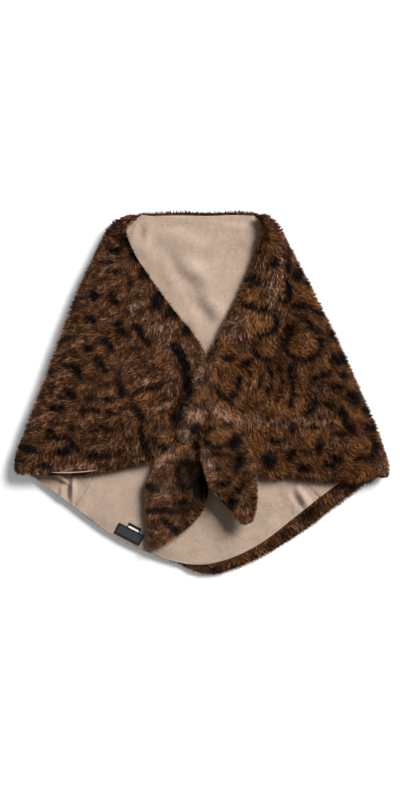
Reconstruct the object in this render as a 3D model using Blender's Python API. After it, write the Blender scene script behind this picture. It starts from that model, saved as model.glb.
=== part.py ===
"""Faux fur hooded scarf, laid flat as it is worn: the back panel lies fur side down on the surface,
its two side panels fold round onto the front, and their ends are tied in one half knot.

Metres, +Z up. +Y points to the neck edge (the brim of the hood) and +X to the right of the garment
as it is seen from above. The origin is the middle of the underside.

Every panel is made from a grid of points on the inner face of its fur, a row for each section from
the neck edge to the hem. The fur is that grid moved out to the tips of its pile, and the lining is
the same grid moved in, a gap away. Sizes in the tables are millimetres.
"""

import math
from collections import namedtuple

import bmesh
import bpy
import numpy as np

MM = 0.001

# Cloth
BACK_PILE = 10.0  # fur pressed flat under the garment, backing and pile
FRONT_PILE = 15.0  # fur standing on the folded fronts
LINING = 2.0
GAP = 0.3  # between two pieces that touch
CUT_GAP = 0.4  # between a piece and another that presses into it
LAYER_GAP = 0.4  # between the back lining and a front that lies on it
EDGE_WALL = 1.0  # what is left of the wall at a rounded edge
EDGE_ROUND = 14.0  # over which the pile rounds down to an edge
LINING_INSET = 2.0  # lining set back from a front's edge

# Side fold
FOLD_RADIUS = 6.5  # of the fur's inner face, where the cloth turns over
SETTLE_REACH = 95.0  # how far in from the fold a front settles onto the back
FRONT_PUFF = 5.0  # a front's soft rise between its edges
PUFF_AT_EDGE = 60.0  # over which that rise dies out at the front edge
PUFF_AT_HEM = 50.0
PUFF_AT_NECK = 60.0
CREASE_AT_EDGE = 34.0  # over which a front's creases die out at its edge
CREASE_PAST_EDGE = 8.0  # how far past the edge they would run
CREASE_AT_HEM = 30.0
START_AT_FOLD = 50.0  # over which the rise and the creases start at the fold
KNOT_REACH = 90.0  # how far in from a front's edge the knot lifts it
UNDER_HELD = 1.0 / 6.0  # share of the way from the fold to the seam that the fold holds
UNDER_RELEASE = 1.0 / 6.0  # share of that way over which it lets go

# Heights of the fur's inner face
BACK_LEVEL = BACK_PILE
BACK_LINING_TOP = BACK_LEVEL + GAP + LINING
FRONT_LEVEL = BACK_LINING_TOP + LAYER_GAP + LINING + GAP
FOLD_LEVEL = BACK_LEVEL + 2 * FOLD_RADIUS

# Turned edge of the back: where its pile shows outside the lining it stands up round it, by the
# share of the way from the lining's edge to the pile's own.
Turn = namedtuple("Turn", "share top bottom")
TURNED_EDGE = [
    Turn(0.0, 10.0, 0.0),
    Turn(0.08, 13.0, 0.0),
    Turn(0.25, 14.5, 0.0),
    Turn(0.5, 13.6, 0.0),
    Turn(0.75, 10.8, 0.6),
    Turn(0.92, 7.2, 2.0),
    Turn(1.0, 4.6, 3.4),
]
PILE_ONLY = (0.08, 0.5, 0.92)  # shares of the turned edge whose rows the lining does without
LEAST_TURN = 11.0  # narrowest rim that stands up
TURN_BLEND = 4.0  # from the narrowest rim to one that stands up fully
TURN_GAP = 0.8  # between the lining's edge and the pile that stands round it
NECK_TURN = 0.42  # share of the rounding at the neck edge where the pile shows above the lining
NECK_TURN_HEIGHT = 0.55  # share of the full turned edge

# How finely the panels are divided
MAIN_ROWS = 16
UNDER_COLUMNS = 6
FOLD_COLUMNS = 6
FRONT_COLUMNS = 12
BACK_COLUMNS = 16
NECK_SHARES = (0.0, 0.14, NECK_TURN, 1.0)  # of the rounding, from the neck edge in
FRONT_EDGE = (12.0, 6.5, 2.6, 0.6, 0.0)  # distances in from a front's edge
LOOK = 0.03  # share of an edge or an end to each side of a point, over which its direction is read

# One row for each section across a side panel, from the neck edge to the hem, evenly spaced:
# where it meets the back panel, its outermost point at the fold, its end at the front edge, how far
# that end is lifted by the knot, and how far the section sags towards the hem.
Section = namedtuple("Section", "seam_x seam_y fold_x fold_y front_x front_y lift sag")
LEFT_SECTIONS = [
    Section(-108, 317, -152, 318, -122, 308, 0, 0),
    Section(-143, 258, -185, 260, -131, 262, 0, 0),
    Section(-150, 180, -221, 181, -92, 198, 0, 0),
    Section(-152, 92, -254, 95, -48, 138, 0, 0),
    Section(-161, 4, -283, 13, -6, 84, 2, 0),
    Section(-174, -76, -312, -58, 8, 16, 8, 2),
    Section(-198, -150, -332, -110, -28, -45, 13, 9),
    Section(-228, -199, -330, -142, -64, -106, 8, 19),
]
RIGHT_SECTIONS = [
    Section(84, 318, 120, 318, 94, 309, 0, 0),
    Section(109, 258, 152, 250, 89, 254, 0, 0),
    Section(119, 180, 188, 180, 63, 183, 0, 0),
    Section(126, 92, 232, 92, 33, 124, 0, 0),
    Section(137, 4, 272, 3, 7, 70, 6, 0),
    Section(151, -76, 306, -76, -22, 6, 16, 0),
    Section(172, -150, 321, -122, 6, -52, 13, 9),
    Section(221, -203, 320, -149, 56, -120, 8, 20),
]

# How a side's corner is rounded off: how far the fold and the front edge move, by the distance
# from the neck edge along the fold
Corner = namedtuple("Corner", "from_neck fold_x fold_y front_x front_y")
LEFT_CORNER = [
    Corner(0.0, 9.5, -6.0, 8.0, 0.0),
    Corner(14.0, 0.0, -8.0, -12.0, -2.0),
    Corner(44.0, 0.0, 0.0, -8.0, 0.0),
    Corner(74.0, 0.0, 0.0, 0.0, 0.0),
]
RIGHT_CORNER = [
    Corner(0.0, -6.0, -6.0, -8.0, 0.0),
    Corner(14.0, -3.0, -8.0, 9.0, -2.0),
    Corner(44.0, 0.0, 0.0, 3.0, 0.0),
    Corner(74.0, 0.0, 0.0, 0.0, 0.0),
]
LEFT_RIM = 0.0  # width of the pile that shows past the lining at the hem
RIGHT_RIM = 21.0
LEFT_PEEK = 0.006  # share by which the lining reaches past the front's hem
RIGHT_PEEK = -0.004

# Back panel: hem of the lining and of the fur, evenly spaced from the left seam to the right one
HemPoint = namedtuple("HemPoint", "lining_x lining_y fur_x fur_y")
BACK_HEM = [
    HemPoint(-228, -202, -228, -199),
    HemPoint(-187, -234, -187, -231),
    HemPoint(-145, -260, -145, -257),
    HemPoint(-102, -281, -102, -278),
    HemPoint(-60, -296, -60, -295),
    HemPoint(-20, -305, -20, -311),
    HemPoint(20, -302, 22, -318),
    HemPoint(60, -289, 66, -307),
    HemPoint(98, -270, 108, -285),
    HemPoint(134, -244, 147, -258),
    HemPoint(171, -214, 184, -232),
    HemPoint(206, -187, 221, -203),
]
NECK_EDGE = [(-108, 317), (-70, 319), (-31, 320), (7, 319), (46, 320), (84, 318)]

# Soft ridges, and troughs where the height is negative: middle, length, width, the way it runs
Fold = namedtuple("Fold", "x y length width degrees height")
LEFT_FRONT_FOLDS = [
    Fold(-82, 122, 240, 66, -54, 7),  # roll along the front edge
    Fold(-49, 48, 130, 40, -62, -13),  # groove behind that roll
    Fold(-30, -6, 76, 28, 78, -12),  # where the band presses into the cloth beside it
    Fold(-68, 16, 116, 80, -15, 14),  # bulge drawn up by the knot
    Fold(-63, -62, 108, 76, -55, 11),  # bulge under it
    Fold(-94, -24, 96, 34, -12, -9),  # crease between the two bulges
    Fold(-165, -48, 300, 64, 12, 8),  # fold running out to the side
    Fold(-150, 4, 150, 42, 8, -7),
    Fold(-130, 96, 200, 66, -40, 7),
    Fold(-215, 46, 160, 56, 66, 5),
    Fold(-205, -92, 180, 44, 4, -5),
    Fold(-128, -108, 160, 40, 8, 5),
    Fold(-128, 214, 100, 50, -52, 4),
]
RIGHT_FRONT_FOLDS = [
    Fold(72, 160, 236, 62, 67, 7),  # roll along the front edge
    Fold(122, 200, 170, 40, 76, 7),  # ridge down from the shoulder
    Fold(97, 196, 150, 28, 73, -5),
    Fold(52, 34, 116, 88, 52, 11),  # bulge drawn up by the knot
    Fold(140, -58, 236, 66, -22, 10),  # fold running out to the side
    Fold(104, -10, 200, 36, -20, -11),  # trough above that fold
    Fold(40, -22, 80, 30, -35, -9),  # where the right end leaves the cloth
    Fold(158, 44, 210, 64, -34, 7),
    Fold(214, 20, 160, 50, -64, 5),
    Fold(122, -100, 160, 40, -8, -6),
    Fold(232, -92, 140, 56, -30, 6),
    Fold(176, 118, 160, 50, -58, 5),
]
BACK_FOLDS = [
    Fold(-34, 220, 150, 70, -30, 5.5),  # lining puffed up below the neck edge
    Fold(8, 152, 80, 52, 50, 5),
    Fold(-2, 266, 180, 52, 2, 2.5),
    Fold(-66, -196, 110, 56, -18, 1.6),
    Fold(118, -220, 110, 50, 34, 2),
]

# Tied ends. One row for each section: where it is, and its half width and half height
Station = namedtuple("Station", "x y z half_width half_height")
KNOT_BAND = [
    Station(9, 46, 36, 11, 7),
    Station(4, 28, 43, 20, 12),
    Station(-4, 6, 49, 23, 14),
    Station(-13, -16, 51, 25, 15),
    Station(-23, -40, 48, 25, 15),
    Station(-33, -64, 41, 22, 13),
    Station(-40, -82, 34, 13, 8),
]
LEFT_TIE = [
    Station(-32, -66, 31, 15, 11),
    Station(-39, -92, 29, 30, 13),
    Station(-43, -120, 27, 43, 12.5),
    Station(-45, -150, 25.5, 54, 12),
    Station(-51, -180, 25, 57, 12),
    Station(-62, -208, 24.5, 48, 11.5),
    Station(-75, -236, 23.5, 32, 10.5),
    Station(-86, -257, 23, 19, 9),
    Station(-94, -269, 22, 7, 5),
]
RIGHT_TIE = [
    Station(12, -12, 36, 15, 9),
    Station(17, -34, 40, 28, 13),
    Station(22, -62, 43, 38, 14),
    Station(30, -92, 44.5, 43, 13.5),
    Station(40.5, -122, 45, 45.5, 13),
    Station(49, -152, 44.5, 44, 12),
    Station(60, -180, 43.5, 34, 11),
    Station(68, -206, 42, 24, 9.5),
    Station(72, -227, 41, 12, 6),
]
TIE_SIDES = 16
STATION_STEPS = 2  # rings for each row of a tied end's table
FLAT_SIDE = 0.85  # an end's underside is this much flatter than its top
TIE_CAP = 0.5  # how far its tip reaches past the last section, as a share of its half height

# Under a fold of the lining the fur rises less than the lining does
FUR_FOLD_SHARE = 0.9
FUR_FOLD_LESS = 1.0

# Labels, sewn to the lining beside the left hem
Label = namedtuple("Label", "x y length width lift")
LABEL_DEGREES = -27.5
LABEL_THICK = 1.0
MAIN_LABEL = Label(-133, -248.5, 50, 20, 1.4)
SIZE_TAB = Label(-126, -241, 25, 20, 0.1)


def clear_scene():
    """Remove what the file opened with."""
    for obj in list(bpy.data.objects):
        bpy.data.objects.remove(obj, do_unlink=True)


def smooth_step(x):
    """Rise from 0 to 1 with level ends."""
    x = min(max(x, 0.0), 1.0)
    return x * x * (3.0 - 2.0 * x)


def lerp(a, b, share):
    """From a to b."""
    return a + (b - a) * share


def read_table(rows, share):
    """Every column of a table of evenly spaced rows at a share of its length, along a smooth curve."""
    if share > 1.0:
        end = read_table(rows, 1.0)
        return end + (end - read_table(rows, 0.98)) * (share - 1.0) / 0.02
    table = np.array(rows, float)
    last = len(table) - 1
    at = max(share, 0.0) * last
    i = min(int(at), last - 1)
    f = at - i
    before, start, end, after = (table[min(max(k, 0), last)] for k in (i - 1, i, i + 1, i + 2))
    bend = 2 * before - 5 * start + 4 * end - after
    twist = 3 * (start - end) + after - before
    return start + 0.5 * f * (end - before + f * (bend + f * twist))


def fold_height(folds, x, y):
    """Height that a table of soft folds adds at a point. Each fades out at its ends and its sides."""
    height = 0.0
    for fold in folds:
        turn = math.radians(fold.degrees)
        along = (x - fold.x) * math.cos(turn) + (y - fold.y) * math.sin(turn)
        across = (y - fold.y) * math.cos(turn) - (x - fold.x) * math.sin(turn)
        reach = math.hypot(along / (fold.length / 2), across / (fold.width / 2))
        height += fold.height * smooth_step(1.0 - reach)
    return height


def rounding(share):
    """How much of its thickness a rounded edge has, from 0 at the edge to 1 where it is whole."""
    near = min(max(share, 0.0), 1.0)
    return math.sqrt(1.0 - (1.0 - near) ** 2)


def turned_edge(share, round_share, standing):
    """Top and bottom of the pressed fur at a share of the way across its turned edge, and of its
    plain rounding, by how much of its pile stands up."""
    shares = [turn.share for turn in TURNED_EDGE]
    top = np.interp(share, shares, [turn.top for turn in TURNED_EDGE])
    bottom = np.interp(share, shares, [turn.bottom for turn in TURNED_EDGE])
    plain = min(BACK_PILE * (1.0 - rounding(1.0 - round_share)), BACK_PILE - EDGE_WALL)
    return lerp(BACK_LEVEL, top, standing), lerp(plain, bottom, standing)


def finish_mesh(name, bm, material):
    """Turn a bmesh into a named, smooth-shaded object of triangles with its faces pointing out."""
    bmesh.ops.triangulate(bm, faces=bm.faces, quad_method="FIXED")
    if bm.calc_volume(signed=True) < 0:
        bmesh.ops.reverse_faces(bm, faces=bm.faces)
    mesh = bpy.data.meshes.new(name)
    bm.to_mesh(mesh)
    bm.free()
    mesh.shade_smooth()
    mesh.materials.append(material)
    obj = bpy.data.objects.new(name, mesh)
    bpy.context.scene.collection.objects.link(obj)
    return obj


def wall_between(name, inner, outer, material):
    """A closed wall from two grids of points, one on each of its faces."""
    bm = bmesh.new()
    rows, columns = len(inner), len(inner[0])
    near, far = (
        [[bm.verts.new([c * MM for c in point]) for point in row] for row in grid]
        for grid in (inner, outer)
    )
    for r in range(rows - 1):
        for c in range(columns - 1):
            corners = ((r, c), (r, c + 1), (r + 1, c + 1), (r + 1, c))
            bm.faces.new([far[i][j] for i, j in corners])
            bm.faces.new([near[i][j] for i, j in (corners[0], *reversed(corners[1:]))])
    rim = [(0, c) for c in range(columns - 1)]
    rim += [(r, columns - 1) for r in range(rows - 1)]
    rim += [(rows - 1, c) for c in range(columns - 1, 0, -1)]
    rim += [(r, 0) for r in range(rows - 1, 0, -1)]
    for (r, c), (nr, nc) in zip(rim, rim[1:] + rim[:1]):
        bm.faces.new((near[r][c], near[nr][nc], far[nr][nc], far[r][c]))
    return finish_mesh(name, bm, material)


class Row:
    """One row of a panel's grid: in the rounding at the neck edge, in between, or near the hem."""

    def __init__(self, neck=None, main=None, hem=None):
        self.neck, self.main, self.hem = neck, main, hem

    @staticmethod
    def all():
        """Every row, from the neck edge to the hem."""
        rows = [Row(neck=share) for share in NECK_SHARES]
        rows += [Row(main=k / MAIN_ROWS) for k in range(1, MAIN_ROWS)]
        return rows + [Row(hem=turn.share) for turn in TURNED_EDGE]

    def share(self, neck_end, hem_start):
        """How far the row is from the neck edge to the hem."""
        if self.neck is not None:
            return neck_end * self.neck
        if self.main is not None:
            return lerp(neck_end, hem_start, self.main)
        return lerp(hem_start, 1.0, self.hem)


class SidePanel:
    """A side of the scarf: from its seam in the back, round the side fold, to the front edge."""

    def __init__(self, side, sections, corner, folds, rim, peek):
        self.side = side  # -1 on the left, 1 on the right
        self.sections = sections
        self.corner = corner
        self.folds = folds
        self.rim = rim
        self.peek = peek
        ends = [(s.fold_x, s.fold_y) for s in sections]
        self.length = sum(math.dist(a, b) for a, b in zip(ends, ends[1:]))
        self.round_share = EDGE_ROUND / self.length

    def columns(self):
        """Every column: under the garment, round the fold, over the front, and near its edge."""
        under = [("under", k / UNDER_COLUMNS - 1.0) for k in range(UNDER_COLUMNS)]
        fold = [("fold", math.pi * (k / FOLD_COLUMNS - 0.5)) for k in range(FOLD_COLUMNS + 1)]
        front = [("front", k / FRONT_COLUMNS) for k in range(1, FRONT_COLUMNS)]
        return under + fold + front + [("edge", distance) for distance in FRONT_EDGE]

    def section(self, share):
        """Every column of the table of sections at a share of its length, with the corner at the
        neck edge rounded off."""
        row = read_table(self.sections, share)
        distances = [corner.from_neck for corner in self.corner]
        for k in range(1, len(Corner._fields)):
            shifts = [corner[k] for corner in self.corner]
            row[k + 1] += np.interp(share * self.length, distances, shifts)
        return row

    def outward(self, share):
        """The way out across the fold, seen from above. At the neck edge it turns to run along it."""
        down = self.section(min(share + LOOK, 1.0)) - self.section(max(share - LOOK, 0.0))
        way = np.array([-down[3], down[2]]) * self.side
        way /= np.linalg.norm(way)
        way = lerp(np.array([self.side, 0.0]), way, smooth_step(share / self.round_share))
        return way / np.linalg.norm(way)

    def pile(self, rise):
        """Depth of the fur round the fold: rise is -1 under it, 0 at its outermost and 1 on top."""
        return lerp(BACK_PILE, FRONT_PILE, (1.0 + rise) / 2.0)

    def seam(self, share):
        """A point of the seam between this panel and the back one."""
        return self.section(share)[0:2]

    def free(self, kind, at):
        """How far a column under the garment is out of the fold's reach."""
        return smooth_step((-at - UNDER_HELD) / UNDER_RELEASE) if kind == "under" else 0.0

    def across_hem(self, at):
        """Distance across the hem for each share of the panel, where a column under the garment
        reaches it."""
        before, end = self.section(1.0 - LOOK), self.section(1.0)
        along = end[2:4] - end[0:2]
        step = lerp(end[2:4] - before[2:4], end[0:2] - before[0:2], -at)
        return abs(along[0] * step[1] - along[1] * step[0]) / np.linalg.norm(along) / LOOK

    def hem_start(self, kind, at):
        """Where a column's rows near the hem begin."""
        if kind != "under" or not self.rim:
            return 1.0 - self.round_share
        rim = lerp(self.round_share, self.rim / self.across_hem(at), self.free(kind, at))
        return 1.0 - max(rim, self.round_share)

    def front_height(self, x, y, share, from_fold, from_edge, lift):
        """Height of a front's inner face."""
        from_hem = (1.0 - share) * self.length
        from_neck = share * self.length
        settle = smooth_step(from_fold / SETTLE_REACH)
        inside = smooth_step(from_edge / PUFF_AT_EDGE) * smooth_step(from_hem / PUFF_AT_HEM)
        inside *= smooth_step(from_neck / PUFF_AT_NECK)
        fade = smooth_step((from_edge + CREASE_PAST_EDGE) / CREASE_AT_EDGE)
        fade *= smooth_step(from_hem / CREASE_AT_HEM)
        rise = FRONT_PUFF * inside + fold_height(self.folds, x, y) * fade
        rise = max(rise, 0.0) * smooth_step(from_fold / START_AT_FOLD)
        near_knot = smooth_step(1.0 - from_edge / KNOT_REACH)
        return lerp(FOLD_LEVEL, FRONT_LEVEL, settle) + rise + lift * near_knot

    def point(self, share, kind, at):
        """A point of the fur's inner face, with the way out and the depth of the pile there."""
        row = self.section(share)
        seam, fold, front, lift, sag = row[0:2], row[2:4], row[4:6], row[6], row[7]
        out = self.outward(share)
        axis = fold - out * (FOLD_RADIUS + self.pile(0.0))
        if kind == "under":
            x, y = axis + (axis - seam) * at
            x += GAP / 2 * self.side if at == -1.0 else 0.0
            return np.array([x, y, BACK_LEVEL]), np.array([0.0, 0.0, -1.0]), self.pile(-1.0)
        if kind == "fold":
            way = np.array([*(out * math.cos(at)), math.sin(at)])
            middle = np.array([*axis, BACK_LEVEL + FOLD_RADIUS])
            return middle + way * FOLD_RADIUS, way, self.pile(math.sin(at))
        reach = float(np.linalg.norm(front - axis))
        edge_share = min(FRONT_EDGE[0] / reach, 0.5)
        if kind == "front":
            along = at * (1.0 - edge_share)
        else:
            along = 1.0 - at / FRONT_EDGE[0] * edge_share
        x, y = lerp(axis, front, along)
        y -= sag * 4.0 * along * (1.0 - along)
        from_edge = (1.0 - along) * reach
        z = self.front_height(x, y, share, along * reach, from_edge, lift)
        depth = self.pile(1.0) * rounding(from_edge / EDGE_ROUND)
        return np.array([x, y, z]), np.array([0.0, 0.0, 1.0]), depth

    def fur(self, name, material):
        """The faux fur, from its backing to the tips of its pile."""
        inner, outer = [], []
        for row in Row.all():
            near, far = [], []
            for kind, at in self.columns():
                share = row.share(self.round_share, self.hem_start(kind, at))
                place, way, depth = self.point(share, kind, at)
                free = self.free(kind, at)
                edge = rounding(share / self.round_share)
                edge = min(edge, rounding((1.0 - share) / (1.0 - self.hem_start(kind, at))))
                tip = place + way * max(depth * edge, EDGE_WALL)
                if row.hem is not None and free:
                    standing = free if self.rim else 0.0
                    top, bottom = turned_edge(row.hem, row.hem, standing)
                    place = lerp(place, np.array([place[0], place[1], top]), free)
                    tip = lerp(tip, np.array([tip[0], tip[1], bottom]), free)
                near.append(place)
                far.append(tip)
            inner.append(near)
            outer.append(far)
        return wall_between(name, inner, outer, material)

    def lining_start(self):
        """Where the lining begins at the neck edge."""
        return NECK_TURN * self.round_share + TURN_GAP / self.length

    def lining_hem(self, kind, at):
        """Where the lining ends at the hem."""
        if self.rim:
            return self.hem_start(kind, at) - TURN_GAP / self.length
        return 1.0 + self.peek

    def lining_share(self, row, kind, at):
        """Where the lining's point of a row and column is, from the neck edge to the hem."""
        share = row.share(self.round_share, 1.0 - self.round_share)
        if kind == "under":
            return lerp(self.lining_start(), self.lining_hem(kind, at), share)
        if row.neck == 0.0:
            return LINING_INSET / self.length
        return 1.0 + self.peek if row.hem == 1.0 else share

    def lining(self, name, material):
        """The lining, inside the fur and a gap away from it."""
        near, far = [], []
        for row in Row.all():
            if row.hem in PILE_ONLY:
                continue
            facing, inside = [], []
            for kind, at in self.columns():
                if kind == "edge":
                    at = max(at, LINING_INSET + at / 5.0)
                place, way, _ = self.point(self.lining_share(row, kind, at), kind, at)
                facing.append(place - way * GAP)
                inside.append(place - way * (GAP + LINING))
            near.append(facing)
            far.append(inside)
        return wall_between(name, near, far, material)


class BackPanel:
    """The middle of the scarf, between the two sides, lying fur side down."""

    def __init__(self, left, right):
        self.sides = (left, right)

    def patch(self, across, down, seams, top, bottom):
        """A point between four edges: the seams on both sides, and the curves above and below."""
        between_seams = lerp(seams[0], seams[1], across)
        between_edges = lerp(top(across), bottom(across), down)
        corners = lerp(lerp(top(0.0), top(1.0), across), lerp(bottom(0.0), bottom(1.0), across), down)
        return between_seams + between_edges - corners

    def neck_edge(self, across):
        """The fur's upper edge."""
        return read_table(NECK_EDGE, across)

    def lining_hem(self, across):
        """The lining's lower edge."""
        return read_table(BACK_HEM, across)[0:2]

    def fur_hem(self, across):
        """The fur's lower edge."""
        return read_table(BACK_HEM, across)[2:4]

    def inward(self, across):
        """The way in from the hem."""
        along = self.fur_hem(min(across + LOOK, 1.0)) - self.fur_hem(max(across - LOOK, 0.0))
        return np.array([-along[1], along[0]]) / np.linalg.norm(along)

    def rim(self, across):
        """How far the pile shows outside the lining at the hem."""
        return float(np.dot(self.lining_hem(across) - self.fur_hem(across), self.inward(across)))

    def standing(self, across):
        """How much of the turned edge's pile stands up round the lining."""
        return smooth_step((self.rim(across) - TURN_GAP - LEAST_TURN) / TURN_BLEND)

    def turn_start(self, across):
        """Where the fur's rows near the hem begin."""
        plain = self.fur_hem(across) + self.inward(across) * LEAST_TURN
        return lerp(plain, self.lining_hem(across) - self.inward(across) * TURN_GAP, self.standing(across))

    def columns(self):
        """Every column, from the left seam to the right one."""
        return [k / BACK_COLUMNS for k in range(BACK_COLUMNS + 1)]

    def part_from_sides(self, point, across):
        """Leave the gap of a seam at both sides."""
        if across in (0.0, 1.0):
            point[0] += GAP / 2 * (1.0 - 2.0 * across)
        return point

    def main_point(self, across, shares):
        """A point above the rows near the hem, from its shares along both seams."""
        starts = [side.hem_start("under", -1.0) for side in self.sides]
        seams = [side.seam(share) for side, share in zip(self.sides, shares)]
        down = sum(share / start for share, start in zip(shares, starts)) / 2.0
        return self.patch(across, down, seams, self.neck_edge, self.turn_start)

    def fur_point(self, across, row):
        """A point of the fur's grid, seen from above."""
        shares = [row.share(side.round_share, side.hem_start("under", -1.0)) for side in self.sides]
        if row.hem is None:
            return self.main_point(across, shares)
        seams = [side.seam(share) for side, share in zip(self.sides, shares)]
        return self.patch(across, row.hem, seams, self.turn_start, self.fur_hem)

    def heights(self, across, row, x, y):
        """Top and bottom of the fur at a point of its grid."""
        if row.neck is not None:
            standing = NECK_TURN_HEIGHT if 0.0 < across < 1.0 else 0.0
            return turned_edge(max(1.0 - row.neck / NECK_TURN, 0.0), 1.0 - row.neck, standing)
        if row.hem is not None:
            return turned_edge(row.hem, row.hem, self.standing(across))
        rise = FUR_FOLD_SHARE * fold_height(BACK_FOLDS, x, y) - FUR_FOLD_LESS
        return BACK_LEVEL + max(rise, 0.0), 0.0

    def fur(self, name, material):
        """The faux fur, pressed flat on the surface."""
        inner, outer = [], []
        for row in Row.all():
            near, far = [], []
            for across in self.columns():
                x, y = self.part_from_sides(self.fur_point(across, row), across)
                top, bottom = self.heights(across, row, x, y)
                near.append((x, y, top))
                far.append((x, y, bottom))
            inner.append(near)
            outer.append(far)
        return wall_between(name, inner, outer, material)

    def lining_neck(self, across):
        """The lining's upper edge."""
        return self.main_point(across, [side.lining_start() for side in self.sides])

    def lining_point(self, across, row):
        """A point of the lining's grid, seen from above."""
        seams = [side.seam(side.lining_share(row, "under", -1.0)) for side in self.sides]
        down = row.share(self.sides[0].round_share, 1.0 - self.sides[0].round_share)
        return self.patch(across, down, seams, self.lining_neck, self.lining_hem)

    def lining(self, name, material):
        """The lining, on the fur's inner face."""
        lower, upper = [], []
        for row in Row.all():
            if row.hem in PILE_ONLY:
                continue
            below, above = [], []
            for across in self.columns():
                x, y = self.part_from_sides(self.lining_point(across, row), across)
                z = BACK_LEVEL + GAP + fold_height(BACK_FOLDS, x, y)
                below.append((x, y, z))
                above.append((x, y, z + LINING))
            lower.append(below)
            upper.append(above)
        return wall_between(name, lower, upper, material)


def tie_rings(stations):
    """The middle, the way along, the way across, the way up and the half sizes of each ring."""
    count = (len(stations) - 1) * STATION_STEPS
    for k in range(count + 1):
        share = k / count
        x, y, z, half_width, half_height = read_table(stations, share)
        ahead = read_table(stations, min(share + LOOK, 1.0))[:3]
        way = ahead - read_table(stations, max(share - LOOK, 0.0))[:3]
        way /= np.linalg.norm(way)
        across = np.array([way[1], -way[0], 0.0]) / math.hypot(way[0], way[1])
        up = np.cross(across, way)
        up *= math.copysign(1.0, up[2])
        yield np.array([x, y, z]), way, across, up, half_width, half_height


def tied_end(name, stations, material):
    """A full, rounded end of doubled fur along a table of sections."""
    bm = bmesh.new()
    rings = []
    for middle, way, across, up, half_width, half_height in tie_rings(stations):
        ring = []
        for side in range(TIE_SIDES):
            angle = 2.0 * math.pi * side / TIE_SIDES
            height = half_height * math.sin(angle) * (1.0 if math.sin(angle) > 0 else FLAT_SIDE)
            point = middle + across * half_width * math.cos(angle) + up * height
            ring.append(bm.verts.new(point * MM))
        rings.append((ring, middle, way * half_height * TIE_CAP))
    for (ring, *_), (following, *_) in zip(rings, rings[1:]):
        for side in range(TIE_SIDES):
            after = (side + 1) % TIE_SIDES
            bm.faces.new((ring[side], ring[after], following[after], following[side]))
    for (ring, middle, cap), sign in ((rings[0], -1.0), (rings[-1], 1.0)):
        tip = bm.verts.new((middle + cap * sign) * MM)
        for side in range(TIE_SIDES):
            after = (side + 1) % TIE_SIDES
            first, second = (after, side) if sign < 0 else (side, after)
            bm.faces.new((ring[first], ring[second], tip))
    return finish_mesh(name, bm, material)


def woven_label(name, label, material):
    """A flat rectangle of ribbon, turned to the hem it is sewn beside."""
    bm = bmesh.new()
    turn = math.radians(LABEL_DEGREES)
    bottom = BACK_LINING_TOP + GAP + label.lift
    layers = []
    for z in (bottom, bottom + LABEL_THICK):
        corners = []
        for a, b in ((-1, -1), (1, -1), (1, 1), (-1, 1)):
            along, across = a * label.length / 2, b * label.width / 2
            x = label.x + along * math.cos(turn) - across * math.sin(turn)
            y = label.y + along * math.sin(turn) + across * math.cos(turn)
            corners.append(bm.verts.new((x * MM, y * MM, z * MM)))
        layers.append(corners)
    bm.faces.new(layers[0][::-1])
    bm.faces.new(layers[1])
    for k in range(4):
        after = (k + 1) % 4
        bm.faces.new((layers[0][k], layers[0][after], layers[1][after], layers[1][k]))
    return finish_mesh(name, bm, material)


def cutter_of(obj):
    """A copy of a piece made a gap larger all round, to cut its place out of its neighbours."""
    cutter = obj.copy()
    cutter.data = obj.data.copy()
    cutter.name = obj.name + "_cutter"
    normals = [vertex.normal.copy() for vertex in cutter.data.vertices]
    for vertex, normal in zip(cutter.data.vertices, normals):
        vertex.co += normal * CUT_GAP * MM
    cutter.hide_render = True
    cutter.display_type = "WIRE"
    bpy.context.scene.collection.objects.link(cutter)
    return cutter


def cut_by(obj, cutters):
    """Cut other pieces' places out of a piece."""
    for cutter in cutters:
        modifier = obj.modifiers.new(cutter.name, "BOOLEAN")
        modifier.operation = "DIFFERENCE"
        modifier.solver = "EXACT"
        modifier.object = cutter


def centre(objects):
    """Put the middle of the underside at the origin."""
    shown = [obj for obj in objects if not obj.hide_render]
    points = np.array([vertex.co[:] for obj in shown for vertex in obj.data.vertices])
    low, high = points.min(axis=0), points.max(axis=0)
    shift = np.array([(low[0] + high[0]) / 2, (low[1] + high[1]) / 2, low[2]])
    for obj in objects:
        for vertex in obj.data.vertices:
            vertex.co = np.array(vertex.co) - shift


def cloth_material(name, colour, roughness):
    """A material with one colour."""
    material = bpy.data.materials.new(name)
    material.use_nodes = True
    shader = material.node_tree.nodes["Principled BSDF"]
    shader.inputs["Base Color"].default_value = (*colour, 1.0)
    shader.inputs["Roughness"].default_value = roughness
    shader.inputs["Metallic"].default_value = 0.0
    return material


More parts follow.
